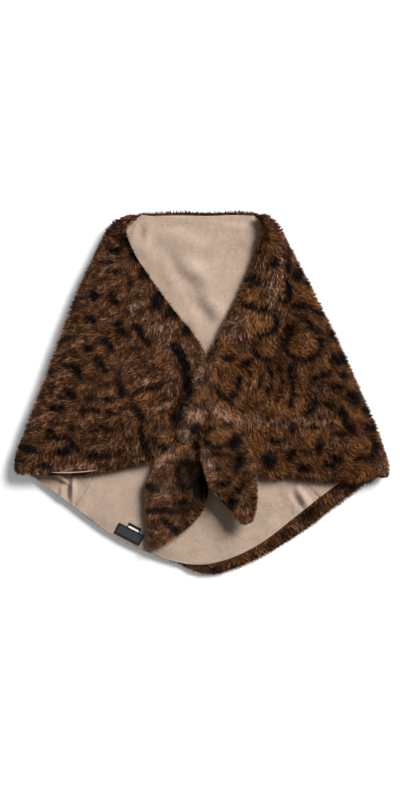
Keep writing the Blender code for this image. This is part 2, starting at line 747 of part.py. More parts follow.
def main():
    """Build every piece."""
    clear_scene()
    fur = cloth_material("faux_fur", (0.105, 0.055, 0.03), 0.85)
    fleece = cloth_material("fleece_lining", (0.6, 0.44, 0.33), 0.95)
    ribbon = cloth_material("woven_ribbon", (0.008, 0.01, 0.017), 0.6)
    left = SidePanel(-1, LEFT_SECTIONS, LEFT_CORNER, LEFT_FRONT_FOLDS, LEFT_RIM, LEFT_PEEK)
    right = SidePanel(1, RIGHT_SECTIONS, RIGHT_CORNER, RIGHT_FRONT_FOLDS, RIGHT_RIM, RIGHT_PEEK)
    back = BackPanel(left, right)
    back_pieces = [back.fur("back_fur", fur), back.lining("back_lining", fleece)]
    left_pieces = [left.fur("left_side_fur", fur), left.lining("left_side_lining", fleece)]
    right_pieces = [right.fur("right_side_fur", fur), right.lining("right_side_lining", fleece)]
    band = tied_end("knot_band", KNOT_BAND, fur)
    ties = [tied_end("left_tie", LEFT_TIE, fur), tied_end("right_tie", RIGHT_TIE, fur)]
    labels = [woven_label("hem_label", MAIN_LABEL, ribbon), woven_label("size_tab", SIZE_TAB, ribbon)]
    knot_cutters = [cutter_of(piece) for piece in (band, *ties)]
    front_cutters = [cutter_of(piece) for piece in right_pieces]
    for tie in ties:
        cut_by(tie, knot_cutters[:1])
    for piece in right_pieces:
        cut_by(piece, knot_cutters)
    for piece in left_pieces:
        cut_by(piece, knot_cutters + front_cutters)
    pieces = back_pieces + left_pieces + right_pieces + [band, *ties, *labels]
    centre(pieces + knot_cutters + front_cutters)


main()
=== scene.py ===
"""The looks of the faux fur hooded scarf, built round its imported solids.

Each fur panel is a thin backing sunk under the tips of its pile, with the pile planted on it as a joined
mesh of tapered locks. Each lining panel is a fleece sheet on its solid's form with its own creases, and
the labels are bare woven ribbon. Sizes in the tables are millimetres in the frame of the solids: +X to
the right of the garment as it is seen from above, +Y towards the neck edge, +Z up from the surface.
"""

import logging
import math
from dataclasses import dataclass
from enum import Enum
from typing import Any, TypeVar

import bmesh
import bpy
import numpy as np
from bmesh.types import BMesh, BMFace, BMVert
from bpy.types import Material, Mesh, Node, NodeSocket, NodeTree, Object
from mathutils import Matrix, Vector
from mathutils.bvhtree import BVHTree

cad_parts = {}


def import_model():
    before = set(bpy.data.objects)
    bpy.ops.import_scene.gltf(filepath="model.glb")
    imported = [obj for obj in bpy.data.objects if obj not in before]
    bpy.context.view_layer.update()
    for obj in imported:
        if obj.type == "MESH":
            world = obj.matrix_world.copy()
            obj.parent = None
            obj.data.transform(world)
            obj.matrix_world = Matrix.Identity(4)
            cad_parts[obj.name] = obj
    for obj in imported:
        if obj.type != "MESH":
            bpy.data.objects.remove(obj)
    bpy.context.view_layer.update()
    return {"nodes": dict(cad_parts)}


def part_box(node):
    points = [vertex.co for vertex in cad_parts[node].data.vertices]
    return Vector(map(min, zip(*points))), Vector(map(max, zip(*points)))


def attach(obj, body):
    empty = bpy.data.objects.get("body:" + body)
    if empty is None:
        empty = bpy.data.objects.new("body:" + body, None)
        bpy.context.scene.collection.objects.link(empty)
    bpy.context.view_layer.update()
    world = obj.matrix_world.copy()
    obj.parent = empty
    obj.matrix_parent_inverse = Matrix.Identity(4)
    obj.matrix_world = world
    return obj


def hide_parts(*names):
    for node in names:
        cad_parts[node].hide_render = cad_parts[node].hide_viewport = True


MM = 0.001
BODY = "root"
BACK_LINING = "back_lining_fleece"
LOG = logging.getLogger("scarf")

# Frame of the photograph
PHOTO_HEIGHT_PX = 787
MM_PER_PIXEL = 1.75
VIEW_CENTRE = (-3.4, -2.4)
OUTLINE_LEVEL = 22.0  # height of the garment's widest outline
LENS = 85.0
SENSOR = 36.0

# Cloth
COVER_REACH = 6.0  # a neighbour this near above a surface hides it
TOUCHING = 1.5  # a neighbour this near lies on the surface
SUNK_SHARE = 0.6  # the most of a wall's thickness that the backing sinks
BLIND_WALL = 2.0  # taken as a wall's thickness where its far side isn't found
STEP_IN = 0.2  # how far inside a surface a ray across its wall starts
DEEPEST_CREASE = 2.6  # how far a trough of the lining may sink
SHARP_DEGREES = 50.0  # a fold of the solid this sharp keeps its edge
SHARP_CREASE = 0.8
COMB_REACH = 20.0  # how near a guide has most of the say in the pile's way
HALF_FIELD = 400.0  # half the side of the square that is shared out among clumps of locks
LOWEST = 0.4  # nothing of the pile lies lower
# painted shade: the backing is drawn as the dim root of a lock, deep in the pile
SHADED_BACKING_LOCK = (0.1, 0.0, 0.7)  # the backing's place along a lock, its pale tip and its brightness
CREASED = (0.2, 0.4)  # how far up a face looks before creases reach it, and the fade
TOP_PRINT = (-0.6, 0.4)  # the same for the print of the upper side
LOCK_STATIONS = (0.0, 0.0, 0.55, 0.55, 1.0)  # where a lock's five points are along it
TAPER = 0.8  # a lock's width at its bend, against its root's
ABOVE_ALL = 200.0  # higher than any of the garment
LABEL_TURN = -27.5  # degrees that the labels are turned from +X, along the hem

Array = np.ndarray
Pair = tuple[float, float]
Row = TypeVar("Row")


class Slot(Enum):
    """Material slots of the record."""

    FUR = "faux_fur"
    FLEECE = "fleece_lining"
    RIBBON = "woven_ribbon"


class Hold(Enum):
    """How a sheet of cloth is held."""

    LAID = "laid"
    FOLDED = "folded"
    GATHERED = "gathered"


# -------- small tools


def linear(colour: str, alpha: float = 1.0) -> tuple[float, float, float, float]:
    """Turn an sRGB hex colour to linear values.

    Args:
        colour: the colour as #rrggbb.
        alpha: the fourth value.

    Returns:
        Linear red, green, blue and alpha.
    """
    parts = [int(colour[k : k + 2], 16) / 255 for k in (1, 3, 5)]
    red, green, blue = (c / 12.92 if c <= 0.04045 else ((c + 0.055) / 1.055) ** 2.4 for c in parts)
    return red, green, blue, alpha


def add_node(
    tree: NodeTree,
    kind: str,
    settings: dict[str, Any] | None = None,
    inputs: dict[Any, Any] | None = None,
) -> Node:
    """Add a node with its settings and its inputs.

    Args:
        tree: the node tree.
        kind: the node's type.
        settings: the node's own properties, by name.
        inputs: a value for an input, or the socket that feeds it, by name or number.

    Returns:
        The node.
    """
    node = tree.nodes.new(kind)
    for name, value in (settings or {}).items():
        setattr(node, name, value)
    for name, value in (inputs or {}).items():
        if isinstance(value, NodeSocket):
            tree.links.new(value, node.inputs[name])
        else:
            node.inputs[name].default_value = value
    return node


def table(kind: type[Row], *rows: tuple[float, ...]) -> tuple[Row, ...]:
    """Make a table's rows into objects of one kind.

    Args:
        kind: the class of a row.
        rows: the values of each row, in the order of its fields.

    Returns:
        One object for each row.
    """
    return tuple(kind(*row) for row in rows)


def smooth(x: Array | float) -> Array:
    """Rise from 0 to 1 with level ends."""
    x = np.clip(x, 0.0, 1.0)
    return x * x * (3.0 - 2.0 * x)


def ripple(x: Array, y: Array, wavelength: float, seed: int) -> Array:
    """A smooth field of crossing waves, the same on each run.

    Args:
        x: across, in millimetres.
        y: along, in millimetres.
        wavelength: the usual distance between crests, in millimetres.
        seed: which field.

    Returns:
        Values mostly between -1 and 1.
    """
    rng = np.random.default_rng(seed)
    total = np.zeros(np.shape(x))
    for _ in range(7):
        turn, phase = rng.uniform(0.0, 2.0 * math.pi, 2)
        wave = 2.0 * math.pi / (wavelength * rng.uniform(0.6, 1.5))
        total = total + np.sin((x * math.cos(turn) + y * math.sin(turn)) * wave + phase)
    return total / 2.6


def unit(vectors: Array) -> Array:
    """Vectors made one long."""
    return vectors / np.maximum(np.linalg.norm(vectors, axis=-1, keepdims=True), 1e-9)


def new_object(name: str, mesh: Mesh, *materials: Material) -> Object:
    """Link a mesh with its materials to the scene.

    Args:
        name: the piece's name.
        mesh: its mesh, in place.
        materials: its materials, in the order of its faces' indices.

    Returns:
        The object.
    """
    mesh.name = name
    for material in materials:
        mesh.materials.append(material)
    obj = bpy.data.objects.new(name, mesh)
    bpy.context.scene.collection.objects.link(obj)
    return obj


# -------- print and comb


@dataclass(frozen=True)
class Oval:
    """An oval stretch of the garment, as it is seen from above."""

    x: float
    y: float
    length: float
    width: float
    degrees: float

    def reach(self, x: Array, y: Array, grown: float = 1.0) -> Array:
        """How far out of the oval places are.

        Args:
            x: across, in millimetres.
            y: along, in millimetres.
            grown: how much larger the oval is drawn.

        Returns:
            0 in its middle and 1 at its edge.
        """
        turn = math.radians(self.degrees)
        along = (x - self.x) * math.cos(turn) + (y - self.y) * math.sin(turn)
        across = (y - self.y) * math.cos(turn) - (x - self.x) * math.sin(turn)
        return np.hypot(along / (self.length * grown / 2.0), across / (self.width * grown / 2.0))


@dataclass(frozen=True)
class Spot(Oval):
    """A solid dark spot: of the print, except a few of painted shade that their tables' comments name."""

    depth: float = 1.0


@dataclass(frozen=True)
class Ring:
    """A broken ring of the print round a warmer centre: its arc runs from start to end, in degrees."""

    x: float
    y: float
    radius_x: float
    radius_y: float
    start: float
    end: float
    stroke: float


@dataclass(frozen=True)
class PaintedSheen(Oval):
    """A stretch of painted sheen: where the pile stands up to the light, its locks are drawn brighter
    and with paler tips.
    """

    strength: float


@dataclass(frozen=True)
class Guide:
    """Which way the pile is combed at a place, in degrees from +X."""

    x: float
    y: float
    degrees: float


LEFT_SPOTS = table(
    Spot,
    (-150, 284, 34, 22, 40, 0.7), (-134, 261, 26, 13, -50), (-151, 247, 24, 13, 10),
    (-119, 237, 24, 15, -55), (-160, 229, 20, 10, 0, 0.8), (-155, 211, 22, 8, 0), (-105, 207, 24, 12, -50),
    (-127, 192, 28, 11, -80, 0.8), (-190, 205, 20, 10, 20, 0.6), (-188, 168, 22, 15, -70),
    (-155, 163, 26, 15, -65), (-80, 158, 32, 20, 80), (-68, 177, 26, 18, 50), (-50, 139, 36, 19, 15),
    (-134, 138, 22, 14, -60, 0.6), (-215, 148, 20, 11, 20, 0.8), (-193, 128, 22, 13, -20),
    (-147, 120, 20, 11, 0), (-138, 106, 22, 14, -20), (-213, 112, 14, 9, 0, 0.7), (-112, 112, 22, 12, -40),
    (-101, 94, 34, 12, -50), (-29, 108, 24, 14, -70), (-232, 95, 20, 11, 10, 0.8), (-169, 90, 20, 12, -20),
    (-157, 78, 18, 11, -60), (-197, 76, 16, 13, 0), (-225, 68, 26, 10, -30, 0.7),
    (-111, 72, 30, 11, -55, 0.7), (-42, 72, 34, 15, -55), (-33, 50, 38, 18, -65), (-26, 18, 46, 17, -78),
    (-24, -16, 34, 17, 80), (-177, 50, 34, 15, -55), (-229, 45, 28, 10, -5), (-215, 34, 24, 16, -70),
    (-88, 44, 24, 11, -10, 0.7), (-146, 24, 24, 11, -75, 0.8), (-140, 4, 26, 15, -80),
    (-177, 16, 22, 12, -10, 0.8), (-196, 20, 14, 9, 0, 0.7), (-229, -2, 28, 14, -50),
    (-257, 9, 20, 10, 20, 0.7), (-192, -11, 30, 11, 0, 0.9), (-164, -12, 20, 9, 0), (-250, -28, 28, 12, 0),
    (-205, -32, 24, 10, 10), (-186, -31, 18, 10, -20), (-159, -35, 16, 10, 0), (-111, -36, 36, 13, -60),
    (-77, -19, 18, 9, -30, 0.6), (-101, -84, 48, 13, -75), (-245, -54, 36, 9, 0, 0.7),
    (-262, -68, 20, 10, -20), (-247, -79, 52, 9, -5), (-221, -96, 26, 13, -40), (-242, -104, 32, 13, 0),
    (-189, -111, 22, 17, 0), (-168, -112, 26, 10, 10, 0.9), (-144, -106, 20, 13, 0, 0.8),
    (-166, -62, 26, 11, -10), (-192, -69, 18, 9, 0, 0.8), (-172, -88, 18, 8, 10, 0.7),
    (-222, -62, 24, 9, 0, 0.7), (-301, -100, 32, 13, -10), (-286, -84, 16, 10, 0, 0.8),
    (-290, -62, 18, 9, 10, 0.6), (-271, -129, 30, 12, -15), (-312, -122, 18, 10, 0, 0.8),
    # the long thin spot at (-222, -149) is painted shadow below the turned hem line
    (-130, -80, 22, 10, -20, 0.8), (-222, -149, 96, 7, 1, 0.9), (-124, -125, 24, 9, 10, 0.6),
    (-140, -60, 28, 12, -60, 0.6), (-41, -50, 22, 12, -40), (-12, 10, 22, 12, -70, 0.8),
)
LEFT_RINGS = table(
    Ring,
    (-60, -79, 19, 17, 170, 375, 8), (-95, -10, 26, 17, 60, 200, 6),
)
RIGHT_SPOTS = table(
    Spot,
    (91, 196, 28, 19, -10), (126, 227, 18, 14, -40), (147, 240, 24, 13, 80, 0.8), (150, 217, 24, 12, 80),
    (167, 208, 30, 15, 75), (108, 246, 22, 10, 0, 0.7), (187, 188, 32, 12, -25), (151, 178, 40, 12, -80),
    (172, 150, 34, 12, 0), (204, 137, 36, 10, -25), (84, 150, 28, 12, -15), (106, 146, 22, 11, 20),
    (153, 113, 22, 14, 30), (144, 88, 24, 17, 70), (178, 127, 34, 7, -35), (196, 110, 36, 8, -35),
    (228, 98, 28, 13, -40), (238, 57, 28, 24, -10), (155, 42, 20, 13, 75), (157, 27, 16, 13, 0),
    (213, 31, 26, 11, 10), (197, 24, 18, 9, 40), (246, 30, 18, 12, -20), (236, 8, 26, 13, -10),
    (263, -9, 28, 20, -40), (286, -31, 26, 14, -60), (45, 59, 22, 12, 0), (77, 51, 28, 12, 35),
    (62, 17, 30, 13, 75), (52, -3, 24, 13, 35), (45, -14, 30, 10, -35), (96, -20, 30, 9, 20, 0.6),
    (221, -22, 26, 10, -35), (245, -38, 30, 14, -55), (257, -62, 30, 13, -50), (292, -62, 20, 18, -30),
    (66, -80, 34, 15, -80), (68, -100, 22, 16, 0), (115, -116, 26, 23, 30), (65, -129, 32, 15, 10),
    (84, -124, 18, 12, 0, 0.8), (126, -84, 24, 10, -10), (155, -110, 26, 13, 60),
    (181, -104, 18, 12, 0, 0.8), (178, -132, 24, 13, 0), (205, -92, 24, 12, 80), (236, -115, 24, 11, -20),
    (222, -126, 28, 12, 0), (250, -104, 16, 9, 0, 0.7), (74, -26, 30, 8, 60, 0.7),
    (115, -44, 22, 9, 20, 0.7), (132, -56, 18, 10, 0, 0.8), (158, -63, 20, 12, 70), (196, -60, 18, 10, 10),
    (240, -73, 24, 9, 0), (30, 38, 26, 9, -20, 0.6), (112, 266, 20, 9, 10, 0.6),
    (120, 293, 30, 13, -50, 0.6), (104, 302, 22, 12, -40, 0.7), (134, 262, 20, 10, -60, 0.6),
    (8, 92, 18, 10, 40, 0.6), (20, 64, 18, 9, -30, 0.5), (212, -200, 18, 10, 30, 0.6),
    (236, -184, 20, 9, 20, 0.7), (262, -172, 22, 10, 35, 0.6), (292, -156, 22, 10, 30, 0.7),
)
RIGHT_RINGS = table(
    Ring,
    (101, 123, 30, 24, -110, 60, 9), (176, 82, 31, 26, 120, 400, 9), (112, 76, 20, 19, 130, 300, 9),
    (42, 14, 23, 21, 120, 260, 8), (174, -14, 24, 27, -100, 40, 8), (280, -95, 23, 21, -130, 60, 10),
    (27, -80, 24, 19, 130, 340, 8), (146, 178, 15, 20, 200, 330, 6), (57, 22, 26, 34, -50, 55, 6),
    (76, 24, 26, 32, -55, 55, 6.5), (95, 24, 26, 34, -55, 50, 7), (113, 18, 27, 40, -55, 50, 7.5),
    (131, 2, 28, 40, -50, 55, 8), (160, -16, 28, 32, -60, 40, 6),
)
KNOT_SPOTS = table(
    Spot,
    (-11, -61, 20, 15, -10), (-44, -46, 22, 12, 60, 0.9), (-5, -84, 34, 12, 0, 0.9), (-20, 0, 36, 12, 80),
    (-2, -22, 18, 10, 40, 0.7), (6, 24, 22, 11, 60, 0.8), (-32, -58, 12, 10, 0, 0.6),
    (18, 6, 16, 10, 70, 0.8), (-27, -22, 44, 9, 72), (13, -30, 30, 8, -30, 0.8), (-12, -104, 40, 12, -75),
)
RIGHT_TIE_RINGS = (Ring(28, -77, 23, 17, 100, 350, 8),)
RIGHT_TIE_SPOTS = table(
    Spot,
    (57, -86, 26, 18, 60), (2, -100, 36, 10, -70, 0.7), (84, -183, 20, 9, 80, 0.7),
    (74, -143, 22, 10, 60, 0.7), (33, -106, 34, 9, -10, 0.8), (62, -122, 34, 13, 78),
    (25, -131, 13, 11, 70, 0.8), (36, -158, 22, 9, 10), (64, -166, 24, 12, 60), (52, -190, 18, 14, 0),
    (77, -196, 22, 8, 10, 0.8), (80, -150, 24, 9, 75, 0.7), (70, -216, 22, 7, 20, 0.6),
)
LEFT_TIE_SPOTS = table(
    Spot,
    # the first spot, at (-24, -146), is painted shade in the tie's hollow
    (-24, -146, 58, 32, 84, 0.88), (-84, -166, 30, 14, -10), (-60, -168, 18, 10, -30, 0.8),
    (-60, -141, 26, 9, 0, 0.6), (-64, -206, 76, 9, 4), (-36, -192, 20, 12, 10), (-52, -234, 32, 11, -35),
    (-78, -226, 28, 6, 0, 0.7), (-90, -247, 22, 6, -10, 0.6), (-26, -122, 20, 12, 0),
    # the spot at (-2, -164) is painted shadow of the right tie and the knot
    (-24, -172, 26, 10, 10, 0.8), (-74, -258, 22, 7, 10, 0.6), (-2, -164, 54, 24, 84),
    (-16, -196, 26, 12, 20, 0.8),
)
# this ring is painted shade round the tie's hollow
LEFT_TIE_RINGS = (Ring(-27, -143, 16, 27, 20, 340, 7),)
NECK_SPOTS = (Spot(0, 319, 280, 12, 0, 0.9),)
RIM_SPOTS = table(
    Spot,
    (24, -312, 24, 12, 10, 0.9), (58, -306, 18, 10, 20, 0.7), (92, -292, 20, 12, 40, 0.6),
    (118, -268, 22, 12, 40, 0.7), (146, -246, 22, 12, 35, 0.8), (186, -214, 34, 14, 35, 0.9),
    (206, -198, 16, 12, 35, 0.8), (0, -308, 18, 10, -10, 0.7),
)
# stretches of painted sheen, where the pile stands up to the light
PAINTED_SHEEN = table(
    PaintedSheen,
    (-112, 150, 46, 24, 60, 0.75), (-68, 104, 80, 30, -55, 0.65), (-96, 24, 34, 20, 0, 0.5),
    (-66, -18, 44, 24, 40, 0.5), (-20, 68, 60, 20, -55, 0.5), (-12, -38, 32, 20, 10, 1.1),
    (-28, -74, 22, 28, 10, 1.1), (34, -38, 54, 14, -28, 1.1), (-2, 30, 26, 18, 60, 1.2),
    (8, -110, 60, 12, -62, 1.2), (24, 54, 40, 22, 20, 0.9), (126, 190, 100, 20, 80, 0.9),
    (134, 240, 50, 14, 85, 0.6), (80, 116, 60, 30, 40, 0.4), (24, 96, 90, 26, 60, 0.6),
    (110, -54, 130, 22, -12, 0.6), (186, -52, 60, 20, 0, 0.7), (-64, -172, 36, 20, 0, 0.7),
    (-64, -112, 50, 22, 50, 0.8), (-240, -132, 120, 14, 4, 0.5), (-228, 26, 40, 24, 0, 0.3),
    (-284, -52, 50, 24, 20, 0.4), (12, -134, 40, 18, 80, 0.5), (190, 84, 40, 24, -30, 0.3),
    (-160, 232, 30, 40, 0, 0.5), (232, -92, 46, 20, 0, 0.3), (40, -309, 22, 12, 15, 0.7),
    (104, -284, 26, 12, 40, 0.6), (164, -232, 26, 12, 40, 0.6), (238, -186, 30, 12, 35, 0.6),
)
LEFT_COMB = table(
    Guide,
    (-160, 290, 150), (-130, 245, 205), (-150, 210, 192), (-100, 215, 255), (-200, 100, 186),
    (-110, 150, 238), (-60, 112, 228), (-66, 170, 300), (-20, 118, 320), (-30, 60, 290), (-150, 60, 215),
    (-250, 0, 188), (-150, -20, 215), (-90, 30, 200), (-62, -28, 238), (-62, -90, 250), (-62, -122, 292),
    (-130, -118, 266), (-190, -70, 210), (-250, -128, 232), (-310, -120, 205),
)
RIGHT_COMB = table(
    Guide,
    (120, 300, 50), (110, 262, 285), (66, 190, 215), (60, 130, 230), (112, 180, 258), (150, 236, 315),
    (190, 172, 338), (192, 100, 328), (250, 22, 330), (280, -60, 322), (110, 60, 318), (30, 92, 300),
    (112, -16, 296), (30, 20, 310), (62, -50, 284), (150, -32, 300), (190, -54, 262), (84, -124, 300),
    (150, -130, 340), (232, -128, 338), (302, -128, 330), (230, -198, 300), (270, -176, 302),
    (306, -152, 310),
)
BAND_COMB = (Guide(2, 40, 250), Guide(-10, -30, 262), Guide(-14, -60, 240), Guide(-36, -80, 225))
RIGHT_TIE_COMB = table(
    Guide,
    (20, -20, 290), (40, -60, 300), (40, -120, 350), (16, -140, 185), (54, -170, 330), (90, -160, 355),
    (72, -214, 286),
)
LEFT_TIE_COMB = table(
    Guide,
    (-40, -80, 240), (-74, -122, 236), (-84, -170, 205), (-30, -150, 300), (-60, -204, 190),
    (-24, -204, 330), (-84, -246, 250),
)
BACK_COMB = table(
    Guide,
    (-128, 318, 110), (0, 320, 90), (110, 318, 70), (0, 230, 262), (-120, 60, 255), (120, 60, 285),
    (0, -120, 270), (-150, -250, 238), (10, -310, 276), (100, -280, 306), (160, -246, 308),
    (220, -200, 304),
)


@dataclass(frozen=True)
class Print:
    """Where the animal print is dark and warm, where a few spots of painted shade lie, and where painted
    sheen
    makes the pile pale: marks listed one by one on the sides that show, and a loose repeat of like marks
    elsewhere. A reach and its fade are shares of a mark's own size."""

    spots: tuple[Spot, ...]
    rings: tuple[Ring, ...]
    edge: float = 0.5  # softness of a mark's edge
    halo: float = 0.3  # darkness of the brown that surrounds a mark
    mottle: float = 1.0  # depth of the loose chocolate mottling between the marks
    dim: float = 0.0  # how much duller this piece is than the others
    golden: float = 0.5  # how golden the brown is
    bold: float = 1.2  # how much wider the marks are than their tables say
    spot_reach: float = 1.1
    halo_reach: Pair = (2.3, 1.3)
    warm_reach: Pair = (2.4, 0.8)
    heart_reach: Pair = (1.15, 0.4)  # of the warm middle of a ring
    # reach and fade of a stretch of painted sheen
    sheen_reach: Pair = (1.5, 1.1)
    line_width: float = 1.1  # of a ring's line, against its stroke
    line_reach: Pair = (1.6, 1.2)  # of that line, as shares of its width
    line_halo_reach: Pair = (2.6, 1.8)
    line_end: Pair = (12.0, 24.0)  # degrees that a ring's line fades out past its end
    spot_warmth: float = 0.6
    ring_warmth: float = 0.9

    def shade(self, x: Array, y: Array) -> Array:
        """How dark and warm the print makes the pile, and how pale its painted sheen makes it.

        Args:
            x: across, in millimetres.
            y: along, in millimetres.

        Returns:
            One row for each place: dark, warm, and pale from painted sheen, each from 0 to 1.
        """
        ragged = 0.16 * ripple(x, y, 11.0, 3) + 0.08 * ripple(x, y, 5.0, 4)
        dark, pale = 0.0 * x, 0.0 * x
        warm = self.golden * smooth(0.5 + ripple(x, y, 60.0, 6))
        for spot in self.spots:
            reach = spot.reach(x, y, self.bold) + ragged
            core = smooth((self.spot_reach + self.edge - reach) / (2.0 * self.edge))
            dark = np.maximum(dark, spot.depth * core)
            dark = np.maximum(dark, self.halo * spot.depth * self.fade(reach, self.halo_reach))
            warm = np.maximum(warm, self.spot_warmth * self.fade(reach, self.warm_reach))
        for ring in self.rings:
            out_x, out_y = (x - ring.x) / ring.radius_x, (y - ring.y) / ring.radius_y
            out = np.hypot(out_x, out_y) + 0.5 * ragged
            way = np.degrees(np.arctan2(out_y, out_x))
            half = (ring.end - ring.start) / 2.0
            off = np.abs((way - ring.start - half + 180.0) % 360.0 - 180.0)
            stroke = self.line_width * self.bold * ring.stroke / (ring.radius_x + ring.radius_y)
            line, wide = (
                smooth((stroke * most - np.abs(out - 1.0)) / (stroke * fade))
                for most, fade in (self.line_reach, self.line_halo_reach)
            )
            end, end_fade = self.line_end
            arc = np.maximum(line, self.halo * wide) * smooth((half + end - off) / end_fade)
            dark = np.maximum(dark, arc)
            warm = np.maximum(warm, self.ring_warmth * self.fade(out, self.heart_reach))
        for stretch in PAINTED_SHEEN:
            most, fade = self.sheen_reach
            light = smooth((most - stretch.reach(x, y) + ragged) / fade)
            pale = np.maximum(pale, stretch.strength * light)
        return np.stack([dark, warm, pale], axis=-1)

    @staticmethod
    def fade(out: Array, limits: Pair) -> Array:
        """From 1 inside a mark to 0 at its reach, the first limit, over its fade, the second."""
        return smooth((limits[0] - out) / limits[1])

    def chocolate(self, x: Array, y: Array) -> Array:
        """How deep the mottling is at places, from 0."""
        field = ripple(x, y, 24.0, 5) + 0.6 * ripple(x, y, 11.0, 7)
        return self.dim + self.mottle * smooth(0.4 + 0.6 * field)


def repeat_of_marks(spacing: float, seed: int) -> tuple[tuple[Spot, ...], tuple[Ring, ...]]:
    """A loose repeat of spots and broken rings for the side that the photograph doesn't show.

    Args:
        spacing: from one mark to the next, in millimetres.
        seed: which layout.

    Returns:
        The spots and the rings.
    """
    rng = np.random.default_rng(seed)
    spots, rings = [], []
    for row, y in enumerate(np.arange(-320.0, 330.0, spacing * 0.87)):
        for x in np.arange(-330.0, 335.0, spacing) + (row % 2) * spacing / 2.0:
            px, py = x + rng.uniform(-7, 7), y + rng.uniform(-7, 7)
            if rng.random() < 0.55:
                turn = rng.uniform(-70.0, 20.0)
                length, width = rng.uniform(18, 34), rng.uniform(10, 16)
                spots.append(Spot(px, py, length, width, turn, rng.uniform(0.7, 1)))
            else:
                start = rng.uniform(0.0, 360.0)
                size = rng.uniform(11.0, 17.0)
                rings.append(Ring(px, py, size, size * 0.85, start, start + rng.uniform(150, 290), 7.0))
    return tuple(spots), tuple(rings)


def combed(x: Array, y: Array, guides: tuple[Guide, ...], stray: float, seed: int) -> Array:
    """Which way the pile lies, seen from above.

    Args:
        x: across, in millimetres.
        y: along, in millimetres.
        guides: the ways at a few places.
        stray: how far stretches of pile turn from that way, in degrees.
        seed: which field of stray stretches.

    Returns:
        One unit vector for each place.
    """
    ways = np.zeros((len(x), 2))
    for guide in guides:
        near = 1.0 / (((x - guide.x) ** 2 + (y - guide.y) ** 2) / COMB_REACH**2 + 1.0) ** 1.5
        turn = math.radians(guide.degrees)
        ways += near[:, None] * np.array([math.cos(turn), math.sin(turn)])
    angle = np.arctan2(ways[:, 1], ways[:, 0])
    angle += np.radians(stray) * (ripple(x, y, 70.0, seed) + 0.6 * ripple(x, y, 24.0, seed + 1))
    return np.stack([np.cos(angle), np.sin(angle)], axis=-1)


# -------- finishes


@dataclass(frozen=True)
class Finish:
    """What every finish has: a name, and a material that its own nodes dress."""

    name: str

    def material(self) -> Material:
        """Make the material."""
        material = bpy.data.materials.new(self.name)
        material.use_nodes = True
        tree = material.node_tree
        self.dress(tree, tree.nodes["Principled BSDF"])
        return material

    def dress(self, tree: NodeTree, shader: Node) -> None:
        """Feed the shader from nodes of the finish's own."""
        raise NotImplementedError


@dataclass(frozen=True)
class FurFinish(Finish):
    """Modacrylic pile, knitted and printed: soft and nearly matt. Its colour is drawn darker at the roots as
    painted shade deep in the pile, and paler at some of its tips, partly the pile's own pale tips and partly
    painted sheen. The pile's attributes hold where the print is dark and warm and where painted sheen makes
    it pale, how far a place is along its lock, how pale that lock's tip is, and how bright its clump is, with
    painted shade towards the gaps between clumps."""

    ground: str = "#5e3c26"
    warm: str = "#7a4b20"
    dark: str = "#080606"
    # colour of the pale tips: partly the pile's own and partly painted sheen
    tip: str = "#c8ab98"
    shaded_root_level: float = 0.1  # painted shade: brightness at the root, deep in the pile
    lit_share: float = 0.8  # of a lock's length, above which its painted root shade ends and it is fully bright
    frost_least: float = 0.2  # how pale tips are outside the stretches of painted sheen
    frost_more: float = 0.75  # and how much paler inside them, where the pile stands up to the light
    sheen_on_marks: float = 0.25  # share of the pale tip colour, partly painted sheen, laid over the dark marks

    def dress(self, tree: NodeTree, shader: Node) -> None:
        """Colour each lock from its print, its place along the lock and its clump: painted shade and sheen.

        Args:
            tree: the material's nodes.
            shader: its shader.
        """
        times, blend = {"operation": "MULTIPLY"}, {"data_type": "RGBA"}
        marks = add_node(tree, "ShaderNodeAttribute", {"attribute_name": "print"}).outputs["Vector"]
        lock = add_node(tree, "ShaderNodeAttribute", {"attribute_name": "lock"}).outputs["Vector"]
        dark, warm, pale = add_node(tree, "ShaderNodeSeparateXYZ", inputs={0: marks}).outputs
        along, frost_and_sheen, level = add_node(tree, "ShaderNodeSeparateXYZ", inputs={0: lock}).outputs
        brown = {0: warm, 6: linear(self.ground), 7: linear(self.warm)}
        ground = add_node(tree, "ShaderNodeMix", blend, brown).outputs[2]
        squared = add_node(tree, "ShaderNodeMath", times, {0: along, 1: along}).outputs[0]
        tipped = add_node(tree, "ShaderNodeMath", times, {0: squared, 1: frost_and_sheen}).outputs[0]
        # paler tips, more so where painted sheen lies
        lifted = {0: pale, 1: self.frost_more, 2: self.frost_least}
        lift = add_node(tree, "ShaderNodeMath", {"operation": "MULTIPLY_ADD"}, lifted).outputs[0]
        amount = add_node(tree, "ShaderNodeMath", times, {0: tipped, 1: lift}).outputs[0]
        tips = {0: amount, 6: ground, 7: linear(self.tip)}
        frost_and_sheen_mix = add_node(tree, "ShaderNodeMix", blend, tips).outputs[2]
        black = {0: dark, 6: frost_and_sheen_mix, 7: linear(self.dark)}
        printed = add_node(tree, "ShaderNodeMix", blend, black).outputs[2]
        sheen_on_marks = add_node(tree, "ShaderNodeMath", times, {0: amount, 1: self.sheen_on_marks}).outputs[0]
        sheen = {0: sheen_on_marks, 6: printed, 7: linear(self.tip)}
        with_sheen = add_node(tree, "ShaderNodeMix", blend, sheen).outputs[2]
        # painted shade: the lock is drawn darker towards its root
        lit = {"Value": along, "From Max": self.lit_share, "To Min": self.shaded_root_level}
        depth = add_node(tree, "ShaderNodeMapRange", inputs=lit).outputs["Result"]
        bright = add_node(tree, "ShaderNodeMath", times, {0: level, 1: depth}).outputs[0]
        scaled = {"Vector": with_sheen, "Scale": bright}
        colour = add_node(tree, "ShaderNodeVectorMath", {"operation": "SCALE"}, scaled).outputs["Vector"]
        tree.links.new(colour, shader.inputs["Base Color"])
        shader.inputs["Roughness"].default_value = 0.6
        shader.inputs["Specular IOR Level"].default_value = 0.05


